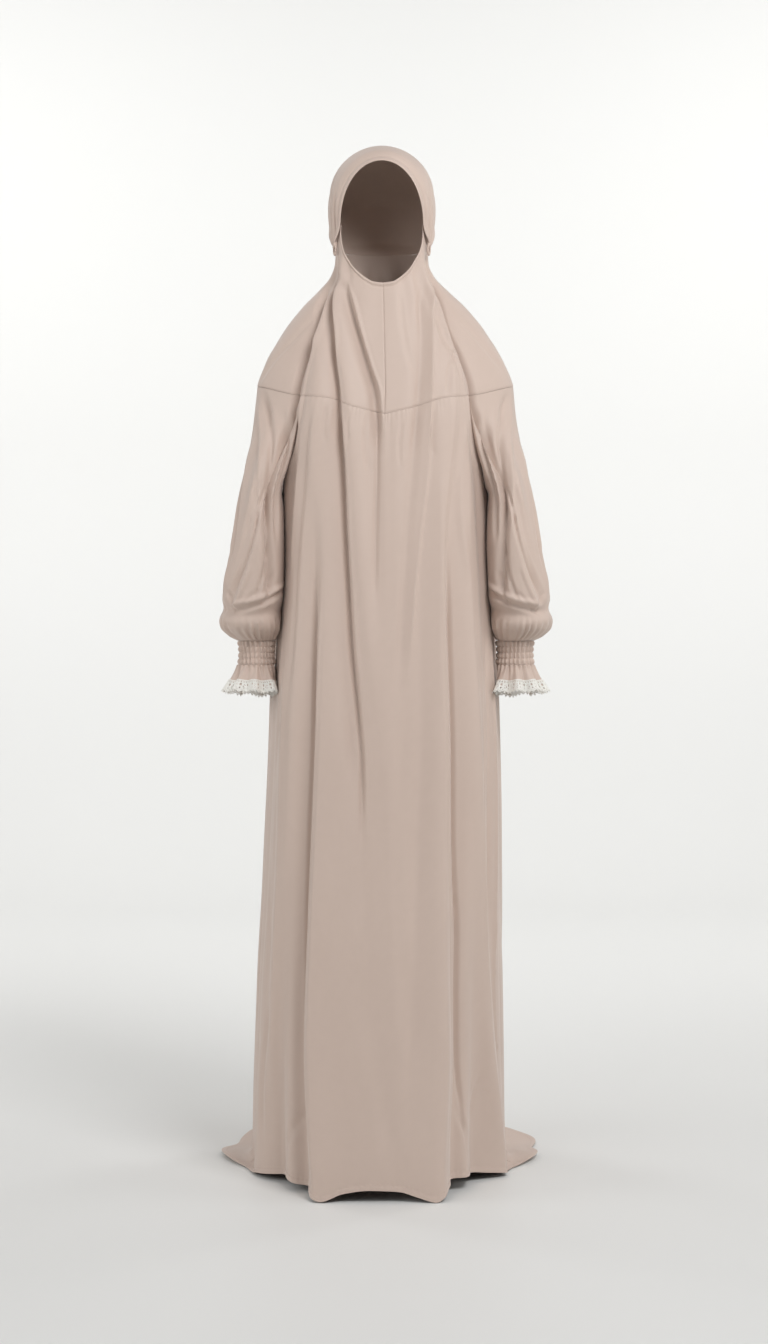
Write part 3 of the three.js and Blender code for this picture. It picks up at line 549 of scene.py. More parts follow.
def math_node(tree, operation, a, b):
    """One Math node; a and b are sockets or plain numbers."""
    node = tree.nodes.new("ShaderNodeMath")
    node.operation = operation
    for socket, value in zip(node.inputs, (a, b)):
        if isinstance(value, (int, float)):
            socket.default_value = value
        else:
            tree.links.new(value, socket)
    return node.outputs[0]


def noise_node(tree, vector, scale, detail):
    """A cloudy noise on the given coordinates."""
    node = tree.nodes.new("ShaderNodeTexNoise")
    node.inputs["Scale"].default_value = scale
    node.inputs["Detail"].default_value = detail
    tree.links.new(vector, node.inputs["Vector"])
    return node.outputs["Fac"]


def mix_colours(tree, factor, a, b):
    """Colour a where the factor is 0 and colour b where it is 1."""
    node = tree.nodes.new("ShaderNodeMix")
    node.data_type = "RGBA"
    for index, value in ((0, factor), (6, a), (7, b)):
        if isinstance(value, (int, float, tuple)):
            node.inputs[index].default_value = value
        else:
            tree.links.new(value, node.inputs[index])
    return node.outputs[2]


YARNS = 330.0


def crepe_group():
    """Colour that drifts over the cloth, and the height of the pebble and its yarns."""
    group, start, end = node_group(
        "crepe_cloth",
        [("Cloth", "v", None), ("Place", "v", None), ("Light", "c", (0.6, 0.5, 0.45, 1)),
         ("Dark", "c", (0.5, 0.4, 0.36, 1)), ("Pebble", "f", 1500.0)],
        [("Color", "c"), ("Height", "f"), ("Roughness", "f")])
    drift = noise_node(group, start.outputs["Place"], 3.5, 3.0)
    cloud = noise_node(group, start.outputs["Cloth"], 60.0, 4.0)
    pebble = group.nodes.new("ShaderNodeTexNoise")
    pebble.inputs["Detail"].default_value = 2.0
    group.links.new(start.outputs["Cloth"], pebble.inputs["Vector"])
    group.links.new(start.outputs["Pebble"], pebble.inputs["Scale"])
    yarn = group.nodes.new("ShaderNodeTexWave")
    yarn.bands_direction = "Y"
    yarn.inputs["Scale"].default_value = YARNS
    yarn.inputs["Distortion"].default_value = 6.0
    yarn.inputs["Detail"].default_value = 1.0
    group.links.new(start.outputs["Cloth"], yarn.inputs["Vector"])
    tone = math_node(group, "ADD", math_node(group, "MULTIPLY", drift, 0.55),
                     math_node(group, "MULTIPLY", cloud, 0.3))
    tone = math_node(group, "ADD", tone, math_node(group, "MULTIPLY", pebble.outputs["Fac"], 0.25))
    colour = mix_colours(group, tone, start.outputs["Dark"], start.outputs["Light"])
    group.links.new(colour, end.inputs["Color"])
    height = math_node(group, "ADD", pebble.outputs["Fac"],
                       math_node(group, "MULTIPLY", yarn.outputs["Fac"], 0.35))
    group.links.new(height, end.inputs["Height"])
    rough = math_node(group, "ADD", math_node(group, "MULTIPLY", cloud, 0.14), 0.5)
    group.links.new(rough, end.inputs["Roughness"])
    return group


CREPE_GROUP = crepe_group()
print("nodes in the crepe group", len(CREPE_GROUP.nodes))

# %% Cloth materials
def cloth_material(name, light, dark, pebble, bump_height, sheen, specular):
    """A woven cloth: the crepe group for colour and height, sheen on the shader itself."""
    material = bpy.data.materials.new(name)
    material.use_nodes = True
    tree = material.node_tree
    shader = tree.nodes["Principled BSDF"]
    coordinates = tree.nodes.new("ShaderNodeTexCoord")
    uv = tree.nodes.new("ShaderNodeUVMap")
    uv.uv_map = "cloth"
    cloth = tree.nodes.new("ShaderNodeGroup")
    cloth.node_tree = CREPE_GROUP
    cloth.inputs["Light"].default_value = (*light, 1.0)
    cloth.inputs["Dark"].default_value = (*dark, 1.0)
    cloth.inputs["Pebble"].default_value = pebble
    tree.links.new(uv.outputs["UV"], cloth.inputs["Cloth"])
    tree.links.new(coordinates.outputs["Object"], cloth.inputs["Place"])
    tree.links.new(cloth.outputs["Color"], shader.inputs["Base Color"])
    tree.links.new(cloth.outputs["Roughness"], shader.inputs["Roughness"])
    bump = tree.nodes.new("ShaderNodeBump")
    bump.inputs["Strength"].default_value = 0.45
    bump.inputs["Distance"].default_value = bump_height
    tree.links.new(cloth.outputs["Height"], bump.inputs["Height"])
    tree.links.new(bump.outputs["Normal"], shader.inputs["Normal"])
    shader.inputs["Sheen Weight"].default_value = sheen
    shader.inputs["Sheen Roughness"].default_value = 0.45
    shader.inputs["Sheen Tint"].default_value = (1.0, 0.98, 0.97, 1.0)
    shader.inputs["Specular IOR Level"].default_value = specular
    return material


# name, light colour, dark colour, pebbles to a metre, bump height in metres, sheen, gloss
CREPE = cloth_material("beige_pink_crepe", (0.600, 0.480, 0.412), (0.520, 0.405, 0.342),
                       1500.0, 0.00018, 0.30, 0.45)
LACE_COTTON = cloth_material("white_lace", (0.86, 0.85, 0.80), (0.76, 0.745, 0.70),
                             1900.0, 0.0003, 0.15, 0.25)
THREAD = cloth_material("sewing_thread", (0.62, 0.49, 0.43), (0.50, 0.385, 0.33),
                        2600.0, 0.0002, 0.1, 0.4)
print("cloth materials", CREPE.name, LACE_COTTON.name, THREAD.name)

# %% [markdown]
# ## The small creases
# Besides the long folds of the drape, real crepe shows sharper lines: the drape edges that run
# down from the chin and shoulders, the narrow shadows beside the two front lobes, slanting drag
# lines and puckers along sewn seams. A long one follows its own path
# down the dress, a short one joins two ends. Each is a soft trough or ridge a few millimetres
# wide that fades at both ends; beside a trough the cloth rises a little.

# %% Creases
CREASE_BOW = 0.05
CREASE_FADE = 0.25
TOP_FADE, LOW_FADE = 0.16, 0.22


def crease_field(rows, per_degree):
    """A function of angle and height that adds a soft trough for each row (angle, height,
    angle, height, depth, half width in mm). per_degree is the cloth's width of one degree."""
    def relief(angle, height):
        total = np.zeros(np.broadcast(angle, height).shape)
        for a0, z0, a1, z1, depth, half in rows:
            dx, dz = (a1 - a0) * per_degree, z1 - z0
            length = math.hypot(dx, dz)
            x, z = turn(angle - a0) * per_degree, height - z0
            t = (x * dx + z * dz) / length ** 2
            bow = CREASE_BOW * length * np.sin(np.pi * np.clip(t, 0, 1))
            off = ((x * dz - z * dx) / length - bow) / half
            ends = ease(t / CREASE_FADE + 0.2) * ease((1 - t) / CREASE_FADE + 0.2)
            total = total + depth * ends * (1 - 0.9 * off * off) * np.exp(-off * off)
        return total
    return relief


def crease_runs(rows):
    """A function of angle and height that adds a soft trough or ridge along each row's path.
    A row gives the depth, the half width in mm and the path as (height, angle) pairs."""
    runs = []
    for depth, half, path in rows:
        heights, angles = zip(*sorted(path))
        runs.append((depth, half, heights[0], heights[-1], smooth_curve(heights, angles)))

    def relief(angle, height):
        total = np.zeros(np.broadcast(angle, height).shape)
        for depth, half, low, high, path_at in runs:
            at = path_at(height)
            per_degree = np.radians(section_radius(at, height))
            off = turn(angle - at) * per_degree / half
            length = high - low
            fade_low = ease((height - low) / (LOW_FADE * length) + 0.15)
            fade_top = ease((high - height) / (TOP_FADE * length) + 0.15)
            ends = fade_low * fade_top
            total = total + depth * ends * (1 - 0.55 * off * off) * np.exp(-off * off)
        return total
    return relief


def gentle_waves(angle, height):
    """Slow uneven swells of under a millimetre, so that no stretch of cloth is perfectly plain."""
    a = np.radians(angle)
    return (0.5 * np.sin(7 * a + height / 95) * np.sin(height / 170 + 2 * np.cos(3 * a))
            + 0.35 * np.sin(13 * a - height / 61 + 1.3) * np.sin(height / 83))


print("a fold fades over", LOW_FADE, "of its length below and", TOP_FADE, "above")

# %% Where the creases lie
# depth, half width, path down the cloth as (height, angle) pairs
YOKE_RUNS = [
    (-6.5, 5.5, [(1505, -59), (1461, -52.5), (1407, -42), (1356, -38), (1313, -33.5), (1240, -29.5),
        (1200, -28)]),
    (2.6, 4, [(1500, -52), (1461, -46), (1407, -37), (1356, -33.5), (1313, -29.5), (1240, -25),
        (1200, -23.5)]),
    (-7.5, 10, [(1515, -50), (1458, -36.5), (1406, -24.5), (1346, -15), (1300, -8), (1255, -5.5),
        (1200, -5)]),
    (3, 4, [(1500, -40), (1458, -28), (1406, -19), (1346, -9.5), (1300, -3), (1240, -1)]),
    (3.4, 3, [(1500, 54), (1442, 42), (1407, 37.5), (1355, 33), (1313, 30), (1255, 28), (1200, 26.5)]),
    (-3.6, 9, [(1500, 47), (1442, 35), (1407, 33), (1355, 29), (1313, 25), (1255, 22), (1200, 19.5)]),
    (-12, 5, [(1495, -68), (1464, -66.5), (1411, -60.5), (1357, -61), (1320, -60.5), (1267, -61.5),
        (1223, -66), (1180, -75)]),
    (4, 6, [(1480, -59), (1411, -52), (1357, -52.5), (1310, -53), (1240, -54)]),
    (-14, 4.5, [(1500, 63), (1477, 62), (1410, 57.5), (1361, 59), (1322, 59), (1267, 60.5), (1223, 65),
        (1180, 74)]),
    (4, 5, [(1480, 54), (1410, 49.5), (1361, 51), (1317, 51)]),
    (-3, 6, [(1405, 58), (1383, 53), (1339, 42), (1295, 38)]),
    (-2.6, 6, [(1440, -66), (1400, -72), (1360, -80), (1330, -84)]),
    (-2.2, 7, [(1440, 68), (1400, 74), (1350, 80)]),
    (-1.1, 1.4, [(1500, 0), (1250, 0)]),
    (-4, 9, [(1500, 124), (1420, 122), (1330, 121)]),
    (-4, 9, [(1500, -125), (1420, -122), (1330, -121)]),
    (-3.2, 8, [(1545, 152), (1440, 148), (1310, 146)]),
    (-3.4, 8, [(1540, -158), (1430, -154), (1315, -150)]),
    (2.6, 6, [(1530, 162), (1430, 160), (1310, 159)]),
    (-2.6, 7, [(1535, 174), (1420, 171), (1305, 169)]),
]
BODY_RUNS = [
    (-5, 17, [(1285, -35), (1172, -30), (1090, -28), (992, -25.5), (895, -23), (798, -19), (640, -14)]),
    (-7.5, 6, [(1285, -31), (1255, -29.5), (1172, -26), (1090, -24), (992, -21.5), (895, -19),
        (798, -15), (701, -11.5), (560, -9.5)]),
    (2.6, 5, [(1270, -26), (1172, -22), (1090, -20), (992, -17.5), (895, -15), (798, -11)]),
    (-3, 5, [(1275, -7), (1254, -5), (1172, -4.5), (1090, -5), (960, -5.5)]),
    (-3.2, 10, [(1290, 22), (1254, 21), (1172, 18.5), (1090, 15), (960, 11), (800, 7)]),
    (3, 5, [(1290, 29.5), (1255, 28), (1172, 25.5), (1090, 21.5), (992, 17), (860, 13)]),
    (-3.4, 8, [(1285, -43), (1223, -46), (1124, -48), (1000, -50), (800, -52)]),
    (2.4, 7, [(1270, -50), (1223, -52), (1124, -54), (1000, -56)]),
    (2.6, 6, [(1310, -53), (1267, -54), (1223, -58), (1170, -66)]),
    (2.6, 6, [(1310, 52), (1267, 53.5), (1223, 57), (1170, 65)]),
    (4.6, 12, [(1235, 98), (1120, 98), (1000, 98), (860, 97)]),
    (4.6, 12, [(1235, -98), (1120, -98), (1000, -98), (860, -97)]),
    (3.2, 16, [(1200, 78), (1100, 79), (960, 79), (840, 79)]),
    (3.2, 16, [(1200, -78), (1100, -79), (960, -79), (840, -79)]),
    (-5.5, 5, [(1060, -39.5), (993, -39), (894, -38.5), (699, -38), (505, -38), (312, -36),
        (217, -34.5), (123, -31.5), (20, -28)]),
    (3.4, 4, [(1000, -34.5), (699, -34), (505, -34), (312, -32), (217, -30), (123, -27), (20, -23)]),
    (-5.5, 5, [(1060, 35.5), (992, 35.5), (797, 35.5), (602, 35.5), (505, 36.5), (408, 38), (215, 38),
        (117, 40), (30, 43)]),
    (3.4, 4, [(1000, 31.5), (797, 31.5), (602, 31.5), (408, 33), (215, 32.5), (117, 29), (20, 25)]),
    (-1.2, 12, [(960, 21), (895, 19.5), (701, 18.5), (509, 16.5), (319, 14.5), (110, 10.5)]),
    (2, 9, [(1180, 32.5), (1025, 31), (895, 29), (780, 27)]),
    (-2.4, 7, [(920, 66), (793, 62), (494, 62), (361, 63), (200, 68)]),
    (3.4, 4, [(920, 74), (793, 70), (494, 70), (361, 71), (200, 76), (60, 82)]),
    (3.6, 14, [(900, -58), (696, -58), (500, -57), (305, -57), (120, -58)]),
    (-3.4, 8, [(820, 80), (600, 80), (300, 84), (120, 88)]),
    (-3.4, 8, [(820, -86), (600, -88), (200, -92)]),
    (-4, 8, [(1250, 140), (900, 139), (500, 139), (120, 141)]),
    (3.2, 7, [(1200, 149), (700, 150), (120, 151)]),
    (-4, 8, [(1240, -148), (900, -148), (500, -150), (120, -152)]),
    (3.2, 7, [(1180, -158), (700, -160), (120, -162)]),
    (-3.2, 8, [(1260, 172), (800, 169), (200, 168)]),
    (-3, 9, [(1100, 112), (700, 110), (150, 113)]),
    (-3, 9, [(1060, -120), (600, -122), (150, -124)]),
]
# angle, height, angle, height, depth, half width
YOKE_CREASES = [
    (-60, 1485, -50, 1380, 3.0, 9), (44, 1490, 49, 1360, -2.4, 8),
    (18, 1480, 22, 1330, -1.2, 8), (-84, 1420, -92, 1340, -1.5, 12),
    (86, 1425, 94, 1345, -1.5, 12), (122, 1470, 118, 1330, -3.5, 11), (-124, 1470, -119, 1335, -3.5, 11),
    (150, 1540, 146, 1350, -3.0, 10), (-156, 1535, -150, 1345, -2.8, 10), (172, 1530, 168, 1330, -2.2, 11),
]
BODY_CREASES = [
    (-12, 1265, -9, 1170, -1.6, 6), (12, 1262, 10, 1180, -1.2, 6), (30, 1285, 29, 1200, -1.8, 7),
    (-36, 1285, -35, 1215, -2.2, 4), (-32, 1285, -31, 1225, -2.0, 4), (-22, 1275, -21, 1220, -1.8, 4),
    (50, 1270, 47, 1000, 2.4, 9), (37, 135, 44.5, 81, -3.4, 5), (-30, 150, -44, 60, -2.6, 6),
    (-58, 300, -64, 60, -2.5, 8),
    (58, 180, 50, 110, -2.6, 6), (64, 900, 66, 200, 2.6, 6), (-70, 240, -76, 90, -2.0, 8),
    (18, 900, 15, 240, -1.2, 14), (-14, 820, -4, 240, -1.6, 14), (8, 260, 5, 80, -1.0, 12),
    (-60, 820, -62, 380, -1.4, 12), (66, 700, 69, 380, -1.6, 9), (96, 900, 98, 300, -1.6, 12),
    (-106, 880, -108, 300, -1.8, 12), (132, 1250, 130, 700, -2.4, 12), (-136, 1240, -139, 720, -2.4, 12),
    (152, 1260, 150, 860, 2.0, 12), (-160, 1250, -158, 820, 2.0, 12), (170, 1270, 171, 980, -1.6, 9),
    (-174, 1270, -177, 1000, -1.5, 9), (140, 300, 144, 60, -3.0, 10), (-146, 320, -150, 70, -2.8, 10),
    (114, 200, 108, 70, -2.0, 8), (168, 260, 164, 60, -2.2, 10),
]
yoke_crease, yoke_run = crease_field(YOKE_CREASES, 2.3), crease_runs(YOKE_RUNS)
body_crease, body_run = crease_field(BODY_CREASES, 3.2), crease_runs(BODY_RUNS)
print("creases", len(YOKE_CREASES) + len(BODY_CREASES) + len(YOKE_RUNS) + len(BODY_RUNS))

# %% Relief of the yoke and the body
HEM_WIDTH = 9.0
HEM_STEP = 0.6
CHIN_EDGE_ANGLE = 56.0
SEAM_DIP = 0.7
SEAM_HALF = 2.2
LIP_HEIGHT, LIP_AT = 1.5, 2.6
GROOVE_DEPTH, GROOVE_AT = 0.8, 7.2
SEAM_PUCKER = 0.4
HEM_PUCKER = 0.5
HEM_STITCH_DIP = 0.5


def drape_detail(angle, height):
    """Long drapes, short creases and slow waves of the whole dress. Both panels at a seam take
    the same value there, so their edges meet."""
    return (yoke_crease(angle, height) + yoke_run(angle, height) + body_crease(angle, height)
            + body_run(angle, height) + gentle_waves(angle, height))


def yoke_detail(angle, height):
    """Creases of the yoke, a shallow dip along its lower seam and a round lip at the chin."""
    side = np.abs(turn(angle))
    away = (height - yoke_seam_at(side)) / SEAM_HALF
    from_top = yoke_top_at(side) - height
    at_chin = ease((CHIN_EDGE_ANGLE - side) / 5)
    lip = LIP_HEIGHT * np.exp(-((from_top - LIP_AT) / 2.6) ** 2)
    groove = GROOVE_DEPTH * np.exp(-((from_top - GROOVE_AT) / 1.8) ** 2)
    return drape_detail(angle, height) + at_chin * (lip - groove) - SEAM_DIP * np.exp(-away * away)


def body_detail(angle, height):
    """Creases of the body, puckers under the yoke seam, the same dip, and the turned hem."""
    below = yoke_seam_at(np.abs(angle)) - height
    away = below / SEAM_HALF
    pucker = np.sin(angle * 2.4 + 2 * np.sin(angle * 0.37)) * np.exp(-np.abs(below) / 14) * SEAM_PUCKER
    fade = ease((height + 40) / 60)
    past_hem = height - hem_fall(angle) - HEM_WIDTH
    hem = HEM_STEP * (0.5 - 0.5 * np.tanh(past_hem / 0.8))
    stitched = HEM_STITCH_DIP * np.exp(-(past_hem / 1.5) ** 2)
    hem_pucker = HEM_PUCKER * np.sin(angle * 3.1 + 3 * np.sin(angle * 0.21)) * np.exp(-(past_hem / 7) ** 2)
    return (drape_detail(angle, height) * fade + pucker + hem - stitched + hem_pucker
            - SEAM_DIP * np.exp(-away * away))


main_drape = drape_detail(np.linspace(-60.0, 0.0, 121), np.full(121, 1090.0))
print("the front's creases go from", round(float(main_drape.min()), 1), "to",
      round(float(main_drape.max()), 1), "mm at 1090 mm")

# %% [markdown]
# ## The yoke
# The yoke is cut in three: two front halves that meet in a seam under the chin, each with its
# half of the chin piece, and a plain back. They are joined along the shoulders. The front
# halves end in a narrow turned edge round the face. Each is a grid from its upper edge down to
# the yoke seam, with rows drawn close together near the seam, where the cloth dips.

# %% Yoke panels
SHELL = 1.3
SEAM_ROOM = 0.15
SIDE_GAP = 0.05


def close_ends(count, crowd):
    """Shares from 0 to 1 that lie closer together at both ends."""
    t = np.linspace(0.0, 1.0, count)
    return mix(t, ease(t), crowd)


def yoke_panel(name, start, stop, columns, rows):
    """One yoke panel between two angles, from its upper edge to the yoke seam."""
    angles = np.linspace(start, stop, columns)
    side = np.abs(turn(angles))
    down = close_ends(rows, 0.7)[:, None]
    heights = mix(yoke_top_at(side), yoke_seam_at(side) + SEAM_ROOM, down)
    points = yoke_point(np.broadcast_to(angles, heights.shape), heights, yoke_detail)
    return cloth_shell(name, points, SHELL, CREPE)


yoke_left = yoke_panel("front_yoke_left", SIDE_GAP, SIDE_ANGLE - SIDE_GAP, 140, 100)
yoke_right = yoke_panel("front_yoke_right", -SIDE_ANGLE + SIDE_GAP, -SIDE_GAP, 140, 100)
yoke_behind = yoke_panel("back_yoke", SIDE_ANGLE + SIDE_GAP, 270 - SIDE_GAP, 190, 76)

# %% [markdown]
# ## The body
# Front and back are two long panels, sewn down the sides and eased into the yoke. The side
# edges follow the armhole before they run down the side seam, so the upper rows of the grid
# are narrower in angle. The lower rows run on past the floor's edge to make the pools.

# %% Body panels
def armhole_angle(share):
    """The armhole's angle: it opens with the square of the share from yoke seam to underarm."""
    return mix(ARMHOLE_ANGLE, SIDE_ANGLE, share ** 2)


def armhole_height(seam, share, edge):
    """Height at a share of the armhole: even in the panel's middle, quicker at its edge."""
    return mix(seam, UNDERARM_HEIGHT, mix(share, 1 - (1 - share) ** 1.7, edge))


HEM_ROWS = 12
HEM_SHARE = 0.02


def body_panel(name, facing, columns, rows_above, rows_below):
    """One body panel: across runs from side to side, down from the yoke seam to the hem. The
    last rows lie close together, where the cloth is turned up and stitched."""
    t = np.linspace(-1.0, 1.0, columns)[None, :] * 0.9995
    across = t * (0.82 + 0.18 * t * t)
    upper = np.linspace(0.0, 1.0, rows_above)[:, None] ** 1.25
    seam = yoke_seam_at(np.abs(turn(facing + across * ARMHOLE_ANGLE))) - SEAM_ROOM
    upper_angle = facing + across * armhole_angle(upper)
    upper_fall = armhole_height(seam, upper, across ** 2)
    t = np.linspace(0.0, 1.0 - HEM_SHARE, rows_below - HEM_ROWS)[1:]
    lower = np.concatenate([t, np.linspace(1.0 - HEM_SHARE, 1.0, HEM_ROWS + 1)[1:]])[:, None]
    lower_angle = facing + across * SIDE_ANGLE + 0 * lower
    lower_fall = mix(UNDERARM_HEIGHT, hem_fall(lower_angle), lower)
    angles = np.concatenate([upper_angle, lower_angle])
    falls = np.concatenate([upper_fall, lower_fall])
    return cloth_shell(name, body_point(angles, falls, body_detail), SHELL, CREPE)


body_front = body_panel("front_body", 0.0, 262, 34, 130)
body_behind = body_panel("back_body", 180.0, 210, 26, 116)

# %% [markdown]
# ## The hood
# The hood is one piece that turns over the crown from the face edge to the nape. It is made of
# arcs, like a pram hood: each runs from one side of the neck over the crown to the other, and
# the arcs turn backwards. At the ears the front corners are drawn together, so fine pleats run
# up from there. The face edge is turned in and cased, which makes a soft round lip.

# %% Hood
HOOD_ARCS = [
    # back, crown y, crown height, widest half width, how far up it is
    (0, -88, 1691, 68.5, 0.27),
    (0.1, -64, 1713, 82, 0.36),
    (0.3, 0, CROWN_HEIGHT, 88.5, 0.47),
    (0.5, 74, 1712, 89.5, 0.42),
    (0.7, 122, 1648, 88, 0.3),
    (0.85, 121, 1590, 84, 0.15),
    (1, 96, NECK_HEIGHT, 79, 0),
]
hood_crown_y, hood_crown_z, hood_widest, hood_widest_up = column_curves(HOOD_ARCS)
HOOD_MIDDLE = -2.0
TIE_ANGLE = 58.0
NAPE_ANGLE = 102.0
EAR_OVERLAP = 7.0
PLEAT_DEPTH = 2.4
PLEATS = 4.5


def neck_radius(angle):
    """The neck seam's distance from the dress's middle line."""
    return section_radius(turn(angle), NECK_HEIGHT) + fold_relief(turn(angle), NECK_HEIGHT)


def hood_arc(across, back):
    """A point of one arc: a nearly straight rise beside the face, then a quarter ellipse."""
    side = np.where(across < 0, -1.0, 1.0)
    angle = side * mix(TIE_ANGLE, NAPE_ANGLE, back)
    lap = EAR_OVERLAP * (1 - ease(back / 0.6))
    base = round_body(angle, NECK_HEIGHT + 0 * across * back, neck_radius(angle) + lap)
    crown_y, crown_z = hood_crown_y(back), hood_crown_z(back)
    widest, widest_up = hood_widest(back), hood_widest_up(back)
    tall = np.hypot(crown_y - base[..., 1], crown_z - base[..., 2])
    straight = widest_up * tall
    share = straight / (straight + np.pi / 4 * (widest + tall - straight))
    up = 1 - np.abs(across)
    base_half = np.abs(base[..., 0] - HOOD_MIDDLE)
    t = np.clip(up / np.maximum(share, 1e-6), 0, 1)
    bent = np.clip((up - share) / (1 - share), 0, 1) * np.pi / 2
    low = up < share
    rise = np.where(low, widest_up * t, widest_up + (1 - widest_up) * np.sin(bent))
    round_half = np.where(share < 1e-6, base_half, widest) * np.cos(bent)
    half = np.where(low, widest + (base_half - widest) * (1 - t) ** 2.2, round_half)
    return np.stack([HOOD_MIDDLE + side * half, mix(base[..., 1], crown_y, rise),
                     mix(base[..., 2], crown_z, rise)], axis=-1)


def hood_point(across, back):
    """The arcs, drawn at the last one to the neck seam's own round, with the ear pleats."""
    across, back = np.broadcast_arrays(across, back)
    point = hood_arc(across, back)
    angle = 180 - across * (180 - NAPE_ANGLE)
    nape = round_body(angle, NECK_HEIGHT + 0 * back, neck_radius(angle))
    point = point + (nape - hood_arc(across, np.ones_like(back))) * (back ** 3)[..., None]
    up = 1 - np.abs(across)
    near_ear = np.exp(-up / 0.16) * ease(up / 0.04) * ease(back / 0.08) * ease((1 - back) / 0.25)
    point[..., 0] += np.sign(across) * PLEAT_DEPTH * near_ear * np.cos(2 * np.pi * PLEATS * back)
    return point


face_top, face_side = hood_crown_z(0.0), 2 * hood_widest(0.0)
print("face opening", round(float(face_side)), "by", round(float(face_top - yoke_top_at(0.0))), "mm")

# %% Fine pleats and the hood itself
CASING_AT = 0.034
FAN_DEPTH, DRAG_DEPTH = 1.7, 0.9
LIP_SWELL, CASING_DEPTH = 1.1, 0.6
# where it lies at the neck, its slant upwards, half width, ends low and high, depth right, left
CHEEK_FOLDS = [
    (0.07, 0.05, 0.018, (0.04, 0.12), (0.5, 0.2), 4.4, 3.0),
    (0.145, 0.1, 0.022, (0.05, 0.12), (0.62, 0.25), 3.4, 2.4),
]


def hood_detail(across, back):
    """Finer pleats that fan from the ear ties, drag lines over the side, two deeper folds beside
    each cheek, and the face lip with the groove of its casing stitch."""
    up = 1 - np.abs(across)
    fan = np.sin(2 * np.pi * (9 * back + 1.6 * up)) * np.exp(-up / 0.22)
    fan = fan * ease(up / 0.03) * ease((1 - back) / 0.3)
    drag = np.sin(2 * np.pi * (3.2 * back - 0.8 * up) + 0.6)
    drag = drag * ease(up / 0.2) * ease((0.8 - up) / 0.5) * ease(back / 0.1)
    relief = FAN_DEPTH * fan + DRAG_DEPTH * drag
    for at, slant, half, (low, low_fade), (high, high_fade), right, left in CHEEK_FOLDS:
        bell = np.exp(-((back - at - slant * up) / half) ** 2)
        ends = ease((up - low) / low_fade) * ease((high - up) / high_fade)
        relief = relief - np.where(across < 0, right, left) * bell * ends
    lip = np.exp(-((back - 0.012) / 0.010) ** 2)
    groove = np.exp(-((back - CASING_AT) / 0.007) ** 2)
    return relief + LIP_SWELL * lip - CASING_DEPTH * groove


HOOD_CENTRE = np.array([0.0, 10.0, 1630.0])


def hood_surface(across, back):
    """The hood's outer face: the smooth arcs moved along their own normals by the detail."""
    points = hood_point(across, back)
    out = outward(points, grid_normals(points, False), HOOD_CENTRE)
    return points + out * hood_detail(across, back)[..., None]


hood_across = np.linspace(-1.0, 1.0, 190)[None, :]
hood_back = (np.linspace(0.0, 1.0, 104) ** 1.45)[:, None]
hood_points = hood_surface(hood_across, hood_back)
# the first row is set in line with the next two, so the face edge ends cleanly
hood_points[0] = hood_points[1] - (hood_points[2] - hood_points[1]) * 0.4
hood = cloth_shell("hood_cloth", hood_points, SHELL, CREPE, middle=HOOD_CENTRE)

# %% [markdown]
# ## The sleeves
# A bishop sleeve hangs wide from the armhole and is gathered into its cuff, so it blouses over
# it. Its upper loop is the yoke seam over the shoulder and the armhole below. The surface is a
# set of ovals down the sleeve; the difference between the first oval and the true loop fades
# away downwards. It stays about two millimetres clear of the creased body.

# %% Sleeve form
SLEEVE_TOP = 1317.0
CUFF_TOP = 897.0
SLEEVE_SHIFT = 5.0
BODY_CLEARANCE = 2.2
SHOULDER_STEPS = 10
ARMHOLE_STEPS = 6
ARC_SHARE = SHOULDER_STEPS / (SHOULDER_STEPS + 2 * ARMHOLE_STEPS)
UNDERARM_SHARE = (1 + ARC_SHARE) / 2
# height, inner side, outer side, how far forward, half depth
sleeve_inner, sleeve_outer, sleeve_forward, sleeve_depth = column_curves([
    (CUFF_TOP, 186, 249, 30, 36),
    (905, 182, 262, 31, 50),
    (918, 176, 275, 35, 63),
    (938, 173, 281, 39, 70),
    (980, 170, 273, 45, 72),
    (1050, 168, 258, 47, 75),
    (1150, 170, 242, 31, 79),
    (1250, 165, 228, 9, 84),
    (SLEEVE_TOP, 160, 222, 0, 88),
])
# angle at its start and end, from and to as shares of the length, depth, half width
SLEEVE_FOLDS = [
    (0, -40, 0.06, 0.86, -14, 15),
    (30, 22, 0.05, 0.55, 6, 16),
    (4, 48, 0.3, 0.92, -7, 14),
    (62, 70, 0.15, 0.85, 6, 16),
    (100, 112, 0.1, 0.8, -8, 15),
    (140, 150, 0.1, 0.9, 7, 16),
    (180, 172, 0.1, 0.9, -9, 14),
    (214, 222, 0.2, 0.9, 6, 15),
]
BLOUSE_CREASE = 9.0
BLOUSE_SHARE = 0.885
CUFF_GATHER_DEPTH = 0.7
CUFF_GATHERS = 11


def sleeve_ring(side, turned, height):
    """An oval of the sleeve; turned runs from its front outwards and back, in degrees."""
    inner, outer = sleeve_inner(height), sleeve_outer(height)
    across = (outer + inner) / 2 + (outer - inner) / 2 * np.sin(np.radians(turned))
    y = -sleeve_forward(height) - sleeve_depth(height) * np.cos(np.radians(turned))
    return np.stack(np.broadcast_arrays(side * across + SLEEVE_SHIFT, y, height), axis=-1)


def sleeve_turned(u):
    """The oval's angle for a share of the sleeve's round."""
    return np.where(u < ARC_SHARE, mix(-20.0, 200.0, u / ARC_SHARE), np.where(
        u < UNDERARM_SHARE, mix(200.0, 270.0, (u - ARC_SHARE) / (UNDERARM_SHARE - ARC_SHARE)),
        mix(270.0, 340.0, (u - UNDERARM_SHARE) / (1 - UNDERARM_SHARE))))


